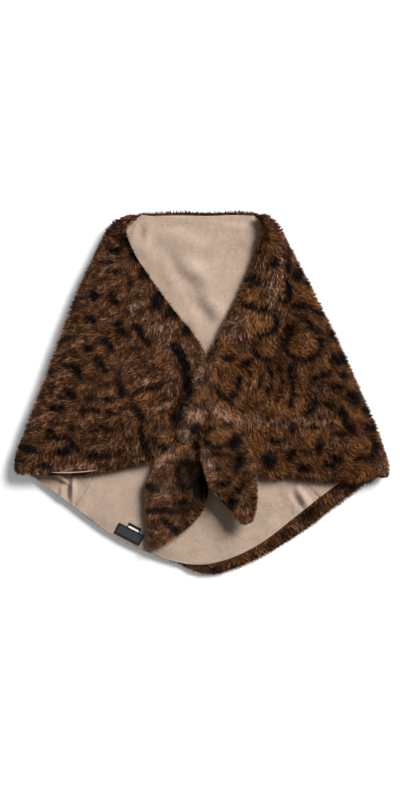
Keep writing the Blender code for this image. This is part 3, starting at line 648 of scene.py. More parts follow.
@dataclass(frozen=True)
class FleeceFinish(Finish):
    """Brushed polyester fleece: quite matt, with a fine nap a millimetre or two across that mottles its
    colour and softens every edge with a pale sheen."""

    light: str = "#ae9886"
    shade: str = "#967f6d"
    nap: float = 2.4  # mm across a tuft, drawn a little coarse so that it shows
    patch: float = 22.0  # mm across a stretch that was brushed one way
    nap_height: float = 0.9  # mm

    def dress(self, tree: NodeTree, shader: Node) -> None:
        """Mottle the fleece and raise its nap.

        Args:
            tree: the material's nodes.
            shader: its shader.
        """
        place = add_node(tree, "ShaderNodeTexCoord").outputs["Object"]
        fine = {"Vector": place, "Scale": 1.0 / (self.nap * MM), "Detail": 3.0, "Roughness": 0.6}
        tufts = add_node(tree, "ShaderNodeTexNoise", inputs=fine).outputs["Fac"]
        broad = {"Vector": place, "Scale": 1.0 / (self.patch * MM), "Detail": 4.0, "Roughness": 0.65}
        patches = add_node(tree, "ShaderNodeTexNoise", inputs=broad).outputs["Fac"]
        part = add_node(tree, "ShaderNodeMath", {"operation": "MULTIPLY"}, {0: patches, 1: 0.4}).outputs[0]
        summed = {0: tufts, 1: 0.6, 2: part}
        both = add_node(tree, "ShaderNodeMath", {"operation": "MULTIPLY_ADD"}, summed).outputs[0]
        span = {"Value": both, "From Min": 0.36, "From Max": 0.62}
        spread = add_node(tree, "ShaderNodeMapRange", inputs=span).outputs["Result"]
        tones = {0: spread, 6: linear(self.shade), 7: linear(self.light)}
        colour = add_node(tree, "ShaderNodeMix", {"data_type": "RGBA"}, tones).outputs[2]
        tree.links.new(colour, shader.inputs["Base Color"])
        raised = {"Height": both, "Strength": 0.5, "Distance": self.nap_height * MM}
        bump = add_node(tree, "ShaderNodeBump", inputs=raised)
        tree.links.new(bump.outputs["Normal"], shader.inputs["Normal"])
        shader.inputs["Roughness"].default_value = 0.95
        shader.inputs["Specular IOR Level"].default_value = 0.2
        shader.inputs["Sheen Weight"].default_value = 0.35
        shader.inputs["Sheen Roughness"].default_value = 0.6


@dataclass(frozen=True)
class RibbonFinish(Finish):
    """Woven polyester satin ribbon: fine ribs across it, a low gloss and a darker selvedge."""

    face: str
    rib_degrees: float
    rib: float = 1.1  # mm from rib to rib, drawn coarser than the weave so that it shows
    grain: float = 3.0  # mm from one uneven stretch of yarn to the next
    rib_height: float = 0.15  # mm
    wave_length: float = 0.314  # of the wave texture at a scale of 1

    def dress(self, tree: NodeTree, shader: Node) -> None:
        """Draw the ribs and the uneven yarn.

        Args:
            tree: the material's nodes.
            shader: its shader.
        """
        place = add_node(tree, "ShaderNodeTexCoord").outputs["Object"]
        turn = {"Vector": place, "Rotation": (0.0, 0.0, math.radians(-self.rib_degrees))}
        turned = add_node(tree, "ShaderNodeMapping", inputs=turn).outputs["Vector"]
        wave = {"Vector": turned, "Scale": self.wave_length / (self.rib * MM), "Distortion": 0.4}
        ribs = add_node(tree, "ShaderNodeTexWave", {"bands_direction": "X"}, wave).outputs["Fac"]
        yarn = {"Vector": place, "Scale": 1.0 / (self.grain * MM), "Detail": 3.0}
        grain = add_node(tree, "ShaderNodeTexNoise", inputs=yarn).outputs["Fac"]
        add = {"operation": "MULTIPLY_ADD"}
        ribbed = add_node(tree, "ShaderNodeMath", add, {0: ribs, 1: 0.25, 2: 0.5}).outputs[0]
        tone = add_node(tree, "ShaderNodeMath", add, {0: grain, 1: 0.7, 2: ribbed}).outputs[0]
        base = add_node(tree, "ShaderNodeRGB").outputs[0]
        base.default_value = linear(self.face)
        scaled = {"Vector": base, "Scale": tone}
        colour = add_node(tree, "ShaderNodeVectorMath", {"operation": "SCALE"}, scaled).outputs["Vector"]
        tree.links.new(colour, shader.inputs["Base Color"])
        raised = {"Height": ribs, "Strength": 0.5, "Distance": self.rib_height * MM}
        bump = add_node(tree, "ShaderNodeBump", inputs=raised)
        tree.links.new(bump.outputs["Normal"], shader.inputs["Normal"])
        shader.inputs["Roughness"].default_value = 0.42
        shader.inputs["Sheen Weight"].default_value = 0.1


@dataclass(frozen=True)
class PaperFinish(Finish):
    """Matt white paper that glows a little, so that the floor comes out as white as the photograph's."""

    colour: str = "#f4f4f4"
    glow: float = 0.15

    def dress(self, tree: NodeTree, shader: Node) -> None:
        """Set the paper's plain values.

        Args:
            tree: the material's nodes, not used here.
            shader: its shader.
        """
        shader.inputs["Base Color"].default_value = linear(self.colour)
        shader.inputs["Roughness"].default_value = 0.9
        shader.inputs["Specular IOR Level"].default_value = 0.1
        shader.inputs["Emission Color"].default_value = (1.0, 1.0, 1.0, 1.0)
        shader.inputs["Emission Strength"].default_value = self.glow


# -------- solids


class Solids:
    """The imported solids: copies of them to build on, and what lies near a point."""

    def __init__(self, nodes: dict[str, Object]) -> None:
        """Keep the nodes and their meshes as search trees.

        Args:
            nodes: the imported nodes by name.
        """
        self.nodes = nodes
        self.points = {name: [v.co.copy() for v in obj.data.vertices] for name, obj in nodes.items()}
        self.faces = {name: [tuple(p.vertices) for p in obj.data.polygons] for name, obj in nodes.items()}

    def tree(self, node: str) -> BVHTree:
        """A search tree of one node."""
        return BVHTree.FromPolygons(self.points[node], self.faces[node])

    def others(self, node: str) -> BVHTree:
        """A search tree of every node but one.

        Args:
            node: the one left out.

        Returns:
            The tree.
        """
        points: list[Vector] = []
        faces: list[tuple[int, ...]] = []
        for name in self.nodes:
            if name != node:
                start = len(points)
                points += self.points[name]
                faces += [tuple(start + k for k in face) for face in self.faces[name]]
        return BVHTree.FromPolygons(points, faces)

    def merged(self, node: str) -> BMesh:
        """A copy of a node with its points merged, its triangles paired and its edges creased.

        Args:
            node: the node.

        Returns:
            The copy.
        """
        bm = bmesh.new()
        bm.from_mesh(self.nodes[node].data)
        bmesh.ops.remove_doubles(bm, verts=bm.verts, dist=0.01 * MM)
        bmesh.ops.join_triangles(
            bm, faces=bm.faces, angle_face_threshold=math.radians(35), angle_shape_threshold=math.radians(50)
        )
        bm.normal_update()
        crease = bm.edges.layers.float.new("crease_edge")
        for edge in bm.edges:
            if len(edge.link_faces) == 2 and edge.calc_face_angle() > math.radians(SHARP_DEGREES):
                edge[crease] = SHARP_CREASE
        return bm


def subdivided(name: str, bm: BMesh, levels: int) -> Mesh:
    """A bmesh subdivided to a smooth mesh.

    Args:
        name: the mesh's name.
        bm: the coarse form, which is freed.
        levels: how many times.

    Returns:
        The fine mesh.
    """
    mesh = bpy.data.meshes.new(name)
    bm.to_mesh(mesh)
    bm.free()
    obj = bpy.data.objects.new(name + "_coarse", mesh)
    bpy.context.scene.collection.objects.link(obj)
    modifier = obj.modifiers.new("smooth", "SUBSURF")
    modifier.levels = modifier.render_levels = levels
    graph = bpy.context.evaluated_depsgraph_get()
    fine = bpy.data.meshes.new_from_object(obj.evaluated_get(graph))
    bpy.data.objects.remove(obj)
    bpy.data.meshes.remove(mesh)
    fine.shade_smooth()
    return fine


def read_vectors(mesh: Mesh, name: str) -> Array:
    """Read a vector of each point of a mesh.

    Args:
        mesh: the mesh.
        name: co or normal.

    Returns:
        One row for each point.
    """
    values = np.empty(len(mesh.vertices) * 3, np.float32)
    mesh.vertices.foreach_get(name, values)
    return values.reshape(-1, 3).astype(float)


def read_points(mesh: Mesh) -> Array:
    """A mesh's points, in millimetres."""
    return read_vectors(mesh, "co") / MM


def write_points(mesh: Mesh, points: Array) -> None:
    """Move a mesh's points to places in millimetres."""
    mesh.vertices.foreach_set("co", (points * MM).astype(np.float32).ravel())
    mesh.update()


def write_vector(mesh: Mesh, name: str, values: Array) -> None:
    """Store three values for each point of a mesh."""
    attribute = mesh.attributes.new(name, "FLOAT_VECTOR", "POINT")
    attribute.data.foreach_set("vector", values.astype(np.float32).ravel())


# -------- creases


@dataclass(frozen=True)
class Crease(Oval):
    """A soft trough in the cloth, or a ridge where its height is positive."""

    height: float

    def lift(self, x: Array, y: Array) -> Array:
        """How far it moves the cloth at places."""
        return self.height * smooth(1.0 - self.reach(x, y))


# -------- fur


LEFT_FUR_CREASES = table(
    Crease,
    (-33, 44, 92, 15, -64, -6.0), (-24, -6, 56, 15, 84, -7.0), (-58, 62, 110, 24, -60, 3.0),
    (-52, 6, 60, 22, 30, 3.0), (-66, -22, 90, 12, 30, -3.5), (-78, 24, 90, 12, 8, -3.0),
    (-60, -52, 90, 14, 42, -4.0), (-98, -72, 70, 16, 60, -3.5), (-130, 40, 110, 18, -30, -2.5),
    (-170, -40, 130, 20, 6, -3.0), (-190, 20, 120, 20, -20, -2.0), (-120, 120, 120, 18, -60, -2.5),
    (-200, 90, 90, 18, -10, -2.0),
)
RIGHT_FUR_CREASES = table(
    Crease,
    (62, -20, 110, 12, -30, -4.0), (100, -46, 150, 14, -12, -4.0), (52, -54, 60, 14, -64, -5.0),
    (120, 12, 120, 16, 78, -2.0), (92, 30, 110, 14, 76, -2.0), (150, 6, 110, 16, 70, -2.0),
    (120, 220, 120, 16, 84, -3.0), (60, 84, 120, 16, 40, -2.5), (200, 60, 110, 20, -40, -2.5),
    (226, -20, 100, 18, -50, -2.5), (170, -88, 150, 16, -6, -3.0), (180, 150, 110, 18, -50, -2.0),
)
LEFT_TIE_CREASES = table(
    Crease,
    (-24, -146, 66, 40, 90, -12.0), (0, -170, 70, 26, 90, -8.0), (-58, -122, 50, 10, 0, -3.0),
    (-52, -214, 90, 12, 6, -3.5),
)
RIGHT_TIE_CREASES = table(
    Crease,
    (34, -62, 60, 14, -30, -4.0), (70, -110, 60, 14, 80, -4.5), (40, -110, 50, 10, 0, -3.0),
    (62, -170, 70, 12, 70, -3.5),
)
BAND_CREASES = table(
    Crease,
    (-8, -22, 40, 12, -20, -4.0), (-14, -58, 34, 10, 20, -5.0), (-26, -20, 50, 12, 72, -6.0),
    (-12, -100, 44, 12, -75, -6.0), (8, 18, 50, 10, 60, -3.0),
)


@dataclass(frozen=True)
class Trim:
    """A stretch of edge where the pile reaches further out than elsewhere, or less far."""

    x: float
    y: float
    radius: float
    factor: float

    def share(self, x: Array, y: Array) -> Array:
        """What the pile's reach is multiplied by at places."""
        near = smooth(1.4 - np.hypot(x - self.x, y - self.y) / self.radius)
        return 1.0 + (self.factor - 1.0) * near


@dataclass(frozen=True)
class Slump(Oval):
    """A stretch of hem where the soft pile has slumped outwards, past the solid's edge."""

    shift: Pair
    above: float = -1.0  # only what is higher than this moves
    below: float = 99.0  # and lower than this

    def settle(self, mesh: Mesh) -> None:
        """Move the stretch of a mesh.

        Args:
            mesh: the backing or its locks.
        """
        points = read_points(mesh)
        share = smooth(1.2 - self.reach(points[:, 0], points[:, 1]))
        share = share * (points[:, 2] > self.above) * (points[:, 2] < self.below)
        points[:, :2] += share[:, None] * np.array(self.shift)
        write_points(mesh, points)


@dataclass(frozen=True)
class Growth:
    """How the locks of a pile vary by chance and bend over. A pair is the least and the most, or where
    its comment says so a start and its fade."""

    rises: Pair = (0.75, 1.15)  # height, against the depth of the pile
    lies: Pair = (0.55, 1.3)  # how far over, against the panel's lie
    widths: Pair = (0.6, 1.25)  # against the panel's width
    gathers: Pair = (0.45, 1.0)  # how far a tip goes to its clump's middle
    underside: float = -0.5  # a face that looks further down is planted as the underside
    least_bare: float = 0.2  # how far open to view a face is that has pile
    edge: Pair = (0.8, 0.3)  # how far up an edge looks that is planted closer, and the fade
    edge_more: float = 2.0  # and how much closer
    facing: Pair = (0.85, 0.4)  # the same for locks that reach out as the fringe
    droop: float = 0.7  # how far the locks of an edge hang down
    fringe_power: float = 1.4  # how few locks reach as far out as the fringe
    edge_lie: float = 0.55  # how much less far over at an edge
    edge_width: float = 0.35  # how much wider at an edge
    swing: float = 0.3  # radians that a clump swings off the comb
    edge_swing: float = 0.35  # and more at an edge
    own_swing: float = 0.2  # and that one lock does
    strays: float = 0.12  # share of locks that leave their clump
    stray_away: float = 0.6
    bend: tuple[float, float, float] = (0.72, 0.4, 0.45)  # shares of height, lie and gather at the bend
    least_out: float = -0.8  # how far out of the solid the shortest tips end, mm
    bend_out: float = -0.3  # and the bends
    root_depth: float = 0.4  # how far under the backing the locks begin, mm
    colour_at: float = 0.3  # share of the lie where a lock takes its colour
    tip_at: float = 0.35  # and further on, its tip
    colour_blur: float = 1.8  # mm that it strays
    clump_bright: float = 0.3
    own_bright: float = 0.6
    stray_bright: float = 0.5
    frost_and_sheen: tuple[float, float, float] = (0.35, 0.45, 0.25)  # start, slope and chance
    tone: Pair = (0.8, 0.36)  # slope and start
    warm_lift: float = 0.6  # how much of the mottling warm marks take away
    # how much brighter painted sheen draws a lock
    sheen_lift: float = 0.3
    levels: Pair = (0.1, 2.8)  # least and most brightness
    roll: float = 0.6  # radians that a lock's face rolls


TRIMS = table(
    Trim,
    (-262, -146, 24, 0.2), (-222, -146, 26, 0.2), (-180, -142, 28, 0.2), (-134, -134, 30, 0.25),
    (-316, -104, 22, 0.5), (-314, -78, 18, 0.4), (-186, 248, 34, 0.4), (-134, 308, 16, 0.3),
    (0, 320, 60, 0.7), (147, 266, 16, 0.5), (318, -100, 24, 0.4), (312, -146, 14, 0.3), (60, -312, 34, 1.1),
    (110, -282, 34, 1.1), (160, -246, 34, 1.1), (210, -212, 34, 1.2), (262, -180, 34, 1.3),
    (304, -156, 26, 1.3),
)
RIM_SLUMPS = (
    Slump(212, -216, 270, 32, 33, (2.8, -4.2), below=15.0),
    Slump(-10, -318, 150, 32, 2, (0.0, -4.0)),
)
RIGHT_SLUMPS = (Slump(112, -150, 80, 68, 0, (0.0, -9.0), above=15.0), RIM_SLUMPS[0])


@dataclass
class FurPanel:
    """One fur piece: a knitted backing sunk under the pile's tips, and the pile's locks on it."""

    node: str
    name: str
    sink: float  # how deep the backing lies under the tips, mm
    locks: int
    lie: float  # how far a lock lies over, mm
    comb: tuple[Guide, ...]
    chart: Print
    flat: Pair  # m
    area: float  # m2
    hold: Hold
    rests_on: tuple[str, ...]
    seed: int
    under_share: float = 0.25  # how closely the underside is planted, against the top
    width: float = 0.7  # of a lock at its root, mm
    clump: float = 2.8  # from one clump of locks to the next, mm
    overshoot: float = 2.6  # how far stray tips reach past the solid, mm
    fringe: float = 7.5  # how far they reach past it at the sides
    growth: Growth = Growth()
    creases: tuple[Crease, ...] = ()
    slumps: tuple[Slump, ...] = ()

    def build(self, solids: Solids, under: Print, pile: Material, backing: Material) -> None:
        """Make the backing and its pile.

        Args:
            solids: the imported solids.
            under: the print of the underside.
            pile: the pile's material.
            backing: the backing's material.
        """
        mesh = self.backing(solids)
        points = read_points(mesh)
        shade = self.print_at(points, read_vectors(mesh, "normal")[:, 2], under)
        write_vector(mesh, "print", shade)
        write_vector(mesh, "lock", np.tile(SHADED_BACKING_LOCK, (len(points), 1)))
        cloth = new_object(self.name + "_backing", mesh, backing)
        locks = self.pile(mesh, solids, under)
        for slump in self.slumps:
            slump.settle(mesh)
            slump.settle(locks)
        tufts = new_object(self.name + "_pile", locks, pile)
        for piece in (cloth, tufts):
            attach(piece, BODY)
        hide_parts(self.node)
        LOG.info("%s: %d locks on %d faces", self.name, len(tufts.data.polygons) // 2, len(mesh.polygons))

    def backing(self, solids: Solids) -> Mesh:
        """The solid's form with its open faces sunk to the roots of the pile.

        Args:
            solids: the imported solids.

        Returns:
            The mesh, with an attribute that is 1 where the pile is open to view.
        """
        bm = solids.merged(self.node)
        own, others = BVHTree.FromBMesh(bm), solids.others(self.node)
        bare = bm.verts.layers.float.new("bare")
        moves = []
        for vert in bm.verts:
            way, shut = self.open_way(vert, others)
            upright = Vector((0.0, 0.0, math.copysign(1.0, way.z)))
            covered = not way.length or others.ray_cast(vert.co, upright, COVER_REACH * MM)[0] is not None
            vert[bare] = 0.0 if covered else 1.0
            walls = [
                own.ray_cast(vert.co - inward * STEP_IN * MM, -inward)[3] for inward in (way, vert.normal)
            ]
            wall = min([found for found in walls if found] or [BLIND_WALL * MM])
            sink = self.sink * (0.35 + 0.65 * abs(way.z)) * MM  # less where the cloth stands upright
            move = -way * min(sink, SUNK_SHARE * wall)
            for normal in shut:
                move -= normal * move.dot(normal)
            moves.append(move)
        for vert, move in zip(bm.verts, moves):
            vert.co += move
        mesh = subdivided(self.name + "_backing", bm, 2 if self.creases else 1)
        if self.creases:
            points, up = read_points(mesh), read_vectors(mesh, "normal")[:, 2]
            lift = sum(crease.lift(points[:, 0], points[:, 1]) for crease in self.creases)
            points[:, 2] += lift * smooth((up - CREASED[0]) / CREASED[1])
            write_points(mesh, points)
        return mesh

    @staticmethod
    def open_way(vert: BMVert, others: BVHTree) -> tuple[Vector, list[Vector]]:
        """The way out of the faces round a point that nothing lies against.

        Args:
            vert: the point.
            others: the neighbours.

        Returns:
            That way, and the normals of the faces that a neighbour lies against.
        """
        way, shut = Vector(), []
        for face in vert.link_faces:
            spot = vert.co.lerp(face.calc_center_median(), 0.15)
            if others.ray_cast(spot, face.normal, TOUCHING * MM)[0] is None:
                way += face.normal * face.calc_area()
            else:
                shut.append(face.normal.copy())
        return way.normalized(), shut

    def print_at(self, points: Array, up: Array, under: Print) -> Array:
        """The print's shade at points, from the chart above and the repeat below.

        Args:
            points: the points, in millimetres.
            up: how far each faces up, from -1 to 1.
            under: the repeat.

        Returns:
            One row for each point: dark, warm and pale.
        """
        above = self.chart.shade(points[:, 0], points[:, 1])
        below = under.shade(points[:, 0], points[:, 1])
        share = smooth((up - TOP_PRINT[0]) / TOP_PRINT[1])[:, None]
        return below * (1.0 - share) + above * share

    def pile(self, mesh: Mesh, solids: Solids, under: Print) -> Mesh:
        """Plant the locks.

        Args:
            mesh: the backing.
            solids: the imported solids.
            under: the print of the underside.

        Returns:
            The locks as one mesh.
        """
        rng = np.random.default_rng(self.seed)
        grow = self.growth
        roots, ways = self.plant(mesh, rng)
        tree = solids.tree(self.node)
        count = len(roots)
        x, y = roots[:, 0], roots[:, 1]
        facing = np.abs(ways[:, 2:3])
        flat_way = np.column_stack([combed(x, y, self.comb, 20.0, self.seed), np.zeros(count)])
        flat_way = flat_way + np.array([0.0, 0.0, -grow.droop]) * (1.0 - facing)
        lean = unit(flat_way - ways * (flat_way * ways).sum(axis=1, keepdims=True))
        side = np.cross(ways, lean)
        centre, chance, off = self.clump_of(roots)
        edge = smooth((grow.facing[0] - facing[:, 0]) / grow.facing[1])
        rise = self.depth(roots, ways, tree) * rng.uniform(*grow.rises, count)
        reach = edge * rng.uniform(0.0, 1.0, count) ** grow.fringe_power * self.fringe
        for trim in TRIMS:
            reach = reach * trim.share(x, y)
        rise += reach
        lie = self.lie * rng.uniform(*grow.lies, count) * (1.0 - grow.edge_lie * edge)
        swing = (grow.swing + grow.edge_swing * edge) * chance[:, 0]
        swing = swing + rng.normal(0.0, grow.own_swing, count)
        over = lean * np.cos(swing)[:, None] + side * np.sin(swing)[:, None]
        gather = (centre - roots[:, :2]) * facing * rng.uniform(*grow.gathers, (count, 1))
        stray = rng.random(count) < grow.strays
        gather[stray] *= -grow.stray_away
        up, along, inward = grow.bend
        tips = roots + ways * rise[:, None] + over * lie[:, None]
        middles = roots + ways * (up * rise)[:, None] + over * (along * lie)[:, None]
        tips[:, :2] += gather
        middles[:, :2] += inward * gather
        most = rng.uniform(grow.least_out, self.overshoot, count) + reach
        tips = self.hug(tips, tree, most)
        middles = self.hug(middles, tree, np.full(count, grow.bend_out))
        spots = roots + over * (grow.colour_at * lie)[:, None]
        spots = spots + rng.normal(0.0, grow.colour_blur, (count, 3))
        shade = self.print_at(spots, ways[:, 2], under)
        tip_shade = self.print_at(spots + over * (grow.tip_at * lie)[:, None], ways[:, 2], under)
        # painted shade: a lock is drawn darker the further it stands from its clump's middle, in the gaps
        # between clumps
        bright = grow.clump_bright * chance[:, 1] + rng.normal(0.0, grow.own_bright, count) - off**2
        bright = bright + grow.stray_bright * stray
        start, slope, blur = grow.frost_and_sheen
        frost_and_sheen = smooth(start + slope * bright + rng.normal(0.0, blur, count))
        deep = self.chart.chocolate(spots[:, 0], spots[:, 1]) * (1.0 - grow.warm_lift * shade[:, 1])
        # painted sheen raises a lock's brightness
        tone = grow.tone[0] * bright + grow.tone[1] - deep + grow.sheen_lift * shade[:, 2]
        lock = np.stack([np.zeros(count), frost_and_sheen, np.exp(tone).clip(*grow.levels)], axis=-1)
        roll = rng.normal(0.0, grow.roll, count)
        blade = unit(side * np.cos(roll)[:, None] + ways * np.sin(roll)[:, None])
        wide = self.width * (1.0 + grow.edge_width * edge) * rng.uniform(*grow.widths, count)
        blade = blade * (wide / 2.0)[:, None]
        return self.lock_mesh(roots - ways * grow.root_depth, middles, tips, blade, (shade, tip_shade), lock)

    def plant(self, mesh: Mesh, rng: np.random.Generator) -> tuple[Array, Array]:
        """Choose the roots of the locks.

        Args:
            mesh: the backing.
            rng: the source of chance.

        Returns:
            The roots in millimetres and the ways out of the backing there.
        """
        mesh.calc_loop_triangles()
        corners = np.empty(len(mesh.loop_triangles) * 3, np.int32)
        mesh.loop_triangles.foreach_get("vertices", corners)
        corners = corners.reshape(-1, 3)
        points, normals = read_points(mesh), read_vectors(mesh, "normal")
        bare = np.empty(len(mesh.vertices), np.float32)
        mesh.attributes["bare"].data.foreach_get("value", bare)
        a, b, c = (points[corners[:, k]] for k in range(3))
        cross = np.cross(b - a, c - a)
        up = cross[:, 2] / np.maximum(np.linalg.norm(cross, axis=1), 1e-9)
        grow = self.growth
        dense = np.where(up < grow.underside, self.under_share, 1.0)
        dense *= bare[corners].mean(axis=1) > grow.least_bare
        dense *= 1.0 + grow.edge_more * smooth((grow.edge[0] - np.abs(up)) / grow.edge[1])
        weight = np.linalg.norm(cross, axis=1) * dense
        chosen = np.searchsorted(np.cumsum(weight) / weight.sum(), rng.random(self.locks))
        chosen = chosen.clip(0, len(weight) - 1)
        u, v = rng.random(self.locks), rng.random(self.locks)
        fold = u + v > 1.0
        u[fold], v[fold] = 1.0 - u[fold], 1.0 - v[fold]
        share = np.stack([1.0 - u - v, u, v], axis=-1)[:, :, None]
        picked = corners[chosen]
        return (points[picked] * share).sum(axis=1), unit((normals[picked] * share).sum(axis=1))

    def depth(self, roots: Array, ways: Array, tree: BVHTree) -> Array:
        """How far out of the roots the solid's face is.

        Args:
            roots: the roots, in millimetres.
            ways: the ways out of the backing.
            tree: the solid.

        Returns:
            One depth for each root, in millimetres.
        """
        found = np.empty(len(roots))
        for k, (root, way) in enumerate(zip(roots * MM, ways)):
            hit = tree.ray_cast(Vector(root), Vector(way), 3.0 * self.sink * MM)[3]
            found[k] = 2.0 if hit is None else hit / MM
        return np.clip(found, 1.5, self.sink * 1.2)

    def clump_of(self, places: Array) -> tuple[Array, Array, Array]:
        """Which clump each place belongs to.

        Args:
            places: the roots of the locks, in millimetres.

        Returns:
            The clump's middle, its two values of chance, and how far off its middle the place is, as a
            share of the distance between clumps.
        """
        rng = np.random.default_rng(self.seed + 50)
        count = int(2.0 * HALF_FIELD / self.clump)
        shift = rng.uniform(0.05, 0.95, (count, count, 2))
        chance = rng.normal(0.0, 1.0, (count, count, 2))
        cell = np.floor((places[:, :2] + HALF_FIELD) / self.clump).astype(int)
        gap = np.full(len(places), np.inf)
        middle, found = np.zeros((len(places), 2)), np.zeros((len(places), 2))
        for step in np.ndindex(3, 3):
            near = (cell + np.array(step) - 1).clip(0, count - 1)
            i, j = near[:, 0], near[:, 1]
            centre = (near + shift[i, j]) * self.clump - HALF_FIELD
            away = np.linalg.norm(places[:, :2] - centre, axis=1)
            closer = away < gap
            gap[closer] = away[closer]
            middle[closer] = centre[closer]
            found[closer] = chance[i, j][closer]
        return middle, found, gap / self.clump

    @staticmethod
    def hug(points: Array, tree: BVHTree, most: Array) -> Array:
        """Bring points that stray further out of the solid than they may back to it.

        Args:
            points: where the locks would reach, in millimetres.
            tree: the solid.
            most: how far out each may be, in millimetres.

        Returns:
            The points, over the surface that the garment lies on.
        """
        held = points.copy()
        for k, (point, reach) in enumerate(zip(points, most)):
            at, normal, _, distance = tree.find_nearest(Vector(point * MM))
            if distance > reach * MM and (Vector(point * MM) - at).dot(normal) > 0.0:
                held[k] = np.array(at + normal * reach * MM) / MM
        held[:, 2] = np.maximum(held[:, 2], LOWEST)
        return held

    @staticmethod
    def lock_mesh(
        roots: Array,
        middles: Array,
        tips: Array,
        blade: Array,
        shades: tuple[Array, Array],
        lock: Array,
    ) -> Mesh:
        """Join the locks, each a tapered blade of a four-sided face and a three-sided one.

        Args:
            roots: where they grow.
            middles: where they bend over.
            tips: where they end.
            blade: half their width, as vectors.
            shades: the print's shade of each, and of its tip.
            lock: place along, pale tip, partly painted sheen, and brightness of each.

        Returns:
            One mesh, with its own bake map of a small cell for each lock.
        """
        count = len(roots)
        bend = TAPER * blade
        points = np.stack([roots - blade, roots + blade, middles + bend, middles - bend, tips], axis=1)
        loops = (np.arange(count)[:, None] * 5 + np.array([0, 1, 2, 3, 3, 2, 4])).ravel()
        starts = (np.arange(count)[:, None] * 7 + np.array([0, 4])).ravel()
        mesh = bpy.data.meshes.new("locks")
        mesh.vertices.add(count * 5)
        mesh.vertices.foreach_set("co", (points * MM).astype(np.float32).ravel())
        mesh.loops.add(count * 7)
        mesh.loops.foreach_set("vertex_index", loops.astype(np.int32))
        mesh.polygons.add(count * 2)
        mesh.polygons.foreach_set("loop_start", starts.astype(np.int32))
        mesh.update(calc_edges=True)
        lock = np.repeat(lock, 5, axis=0)
        lock[:, 0] = np.tile(LOCK_STATIONS, count)
        shade = np.repeat(shades[0], 5, axis=0)
        shade[4::5] = shades[1]
        write_vector(mesh, "print", shade)
        write_vector(mesh, "lock", lock)
        cells = math.ceil(math.sqrt(count))
        corner = np.stack([np.arange(count) % cells, np.arange(count) // cells], axis=-1)[:, None, :]
        low, high = ([0.2, 0.15], [0.8, 0.15]), ([0.8, 0.55], [0.2, 0.55])
        inside = np.array([*low, *high, *high[::-1], [0.5, 0.9]])
        layer = mesh.uv_layers.new(name="OFBake")
        layer.data.foreach_set("uv", ((corner + inside) / cells).astype(np.float32).ravel())
        return mesh


# -------- lining


LINING_CREASES = table(
    Crease,
    (-107, 284, 58, 18, 88, -2.4), (-97, 276, 70, 26, 82, 2.4), (-118, 280, 50, 16, 84, 2.0),
    (-104, 250, 70, 30, -50, 2.4), (-26, 194, 90, 30, -32, -2.6), (-12, 212, 104, 46, -32, 5.5),
    (-46, 178, 76, 36, -40, 2.2), (-46, 222, 66, 28, -60, -1.6), (-62, 212, 76, 30, -60, 2.0),
    (2, 138, 76, 26, -52, -2.6), (19, 151, 84, 40, -52, 5.5), (-17, 123, 64, 30, -56, 3.0),
    (40, 196, 120, 40, 70, 3.2), (62, 250, 110, 44, 44, -1.8), (76, 262, 90, 36, 44, 2.2),
    (-20, 262, 130, 44, -16, 2.4), (20, 238, 120, 44, 24, -1.6), (-66, 244, 90, 36, -40, -1.6),
    (60, 290, 90, 24, -10, 2.5), (-40, 292, 90, 22, 8, -1.8), (-235, -168, 58, 11, 86, -1.6),
    (-226, -168, 64, 17, 86, 9.0), (-246, -172, 50, 14, 84, 2.5), (-252, -156, 36, 9, -42, -1.6),
    (-246, -150, 50, 15, -42, 8.0), (-200, -176, 90, 20, 52, 2.4), (-190, -190, 90, 18, 52, -1.8),
    (166, -192, 56, 14, -58, -0.8), (178, -186, 64, 26, -58, 7.0), (150, -182, 60, 30, -60, 1.8),
    (204, -172, 50, 22, -50, 1.4), (30, -240, 110, 38, 20, 3.0), (96, -236, 90, 26, 30, -2.0),
    (-40, -270, 130, 30, -16, 2.6), (-100, -180, 90, 24, 30, -2.0), (-90, -210, 80, 24, -30, 2.8),
    (-160, -214, 70, 20, -30, 2.2),
)


HEM_LINE = (
    (-262.0, -140.0), (-250.0, -140.6), (-236.0, -140.6), (-222.0, -140.2), (-208.0, -139.2),
    (-196.0, -138.0), (-184.0, -136.4),
)
PUCKERS = ((-240, -166, 24), (168, -190, 26))  # where the fleece needs finer faces: x, y, reach
PUCKER_CELL = 5.0


@dataclass(frozen=True)
class TurnedLine:
    """A thin line of turned lining that shows along a hem, as a soft roll with tapered ends that lies
    in the pile's tips."""

    course: tuple[Pair, ...]
    node: str  # the fur piece whose hem it follows
    radius: float = 1.1  # mm
    sunk: float = 0.3  # how deep its middle lies under the tips, mm
    sides: int = 8
    rings: int = 40

    def mesh(self, solids: Solids) -> BMesh:
        """Bend a drawn-out ball along the course.

        Args:
            solids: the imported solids.

        Returns:
            The closed roll.
        """
        tree = solids.tree(self.node)
        knots = np.array(self.course)
        bm = bmesh.new()
        bmesh.ops.create_uvsphere(bm, u_segments=self.sides, v_segments=self.rings, radius=1.0)
        for vert in bm.verts:
            share = (vert.co.z + 1.0) / 2.0 * (len(knots) - 1)
            x, y = (np.interp(share, np.arange(len(knots)), knots[:, axis]) for axis in range(2))
            top = tree.ray_cast(Vector((x, y, ABOVE_ALL)) * MM, Vector((0.0, 0.0, -1.0)))[0].z
            round_it = Vector((0.0, vert.co.x, vert.co.y)) * self.radius * MM
            vert.co = Vector((x * MM, y * MM, top - self.sunk * MM)) + round_it
        bmesh.ops.recalc_face_normals(bm, faces=bm.faces)
        return bm


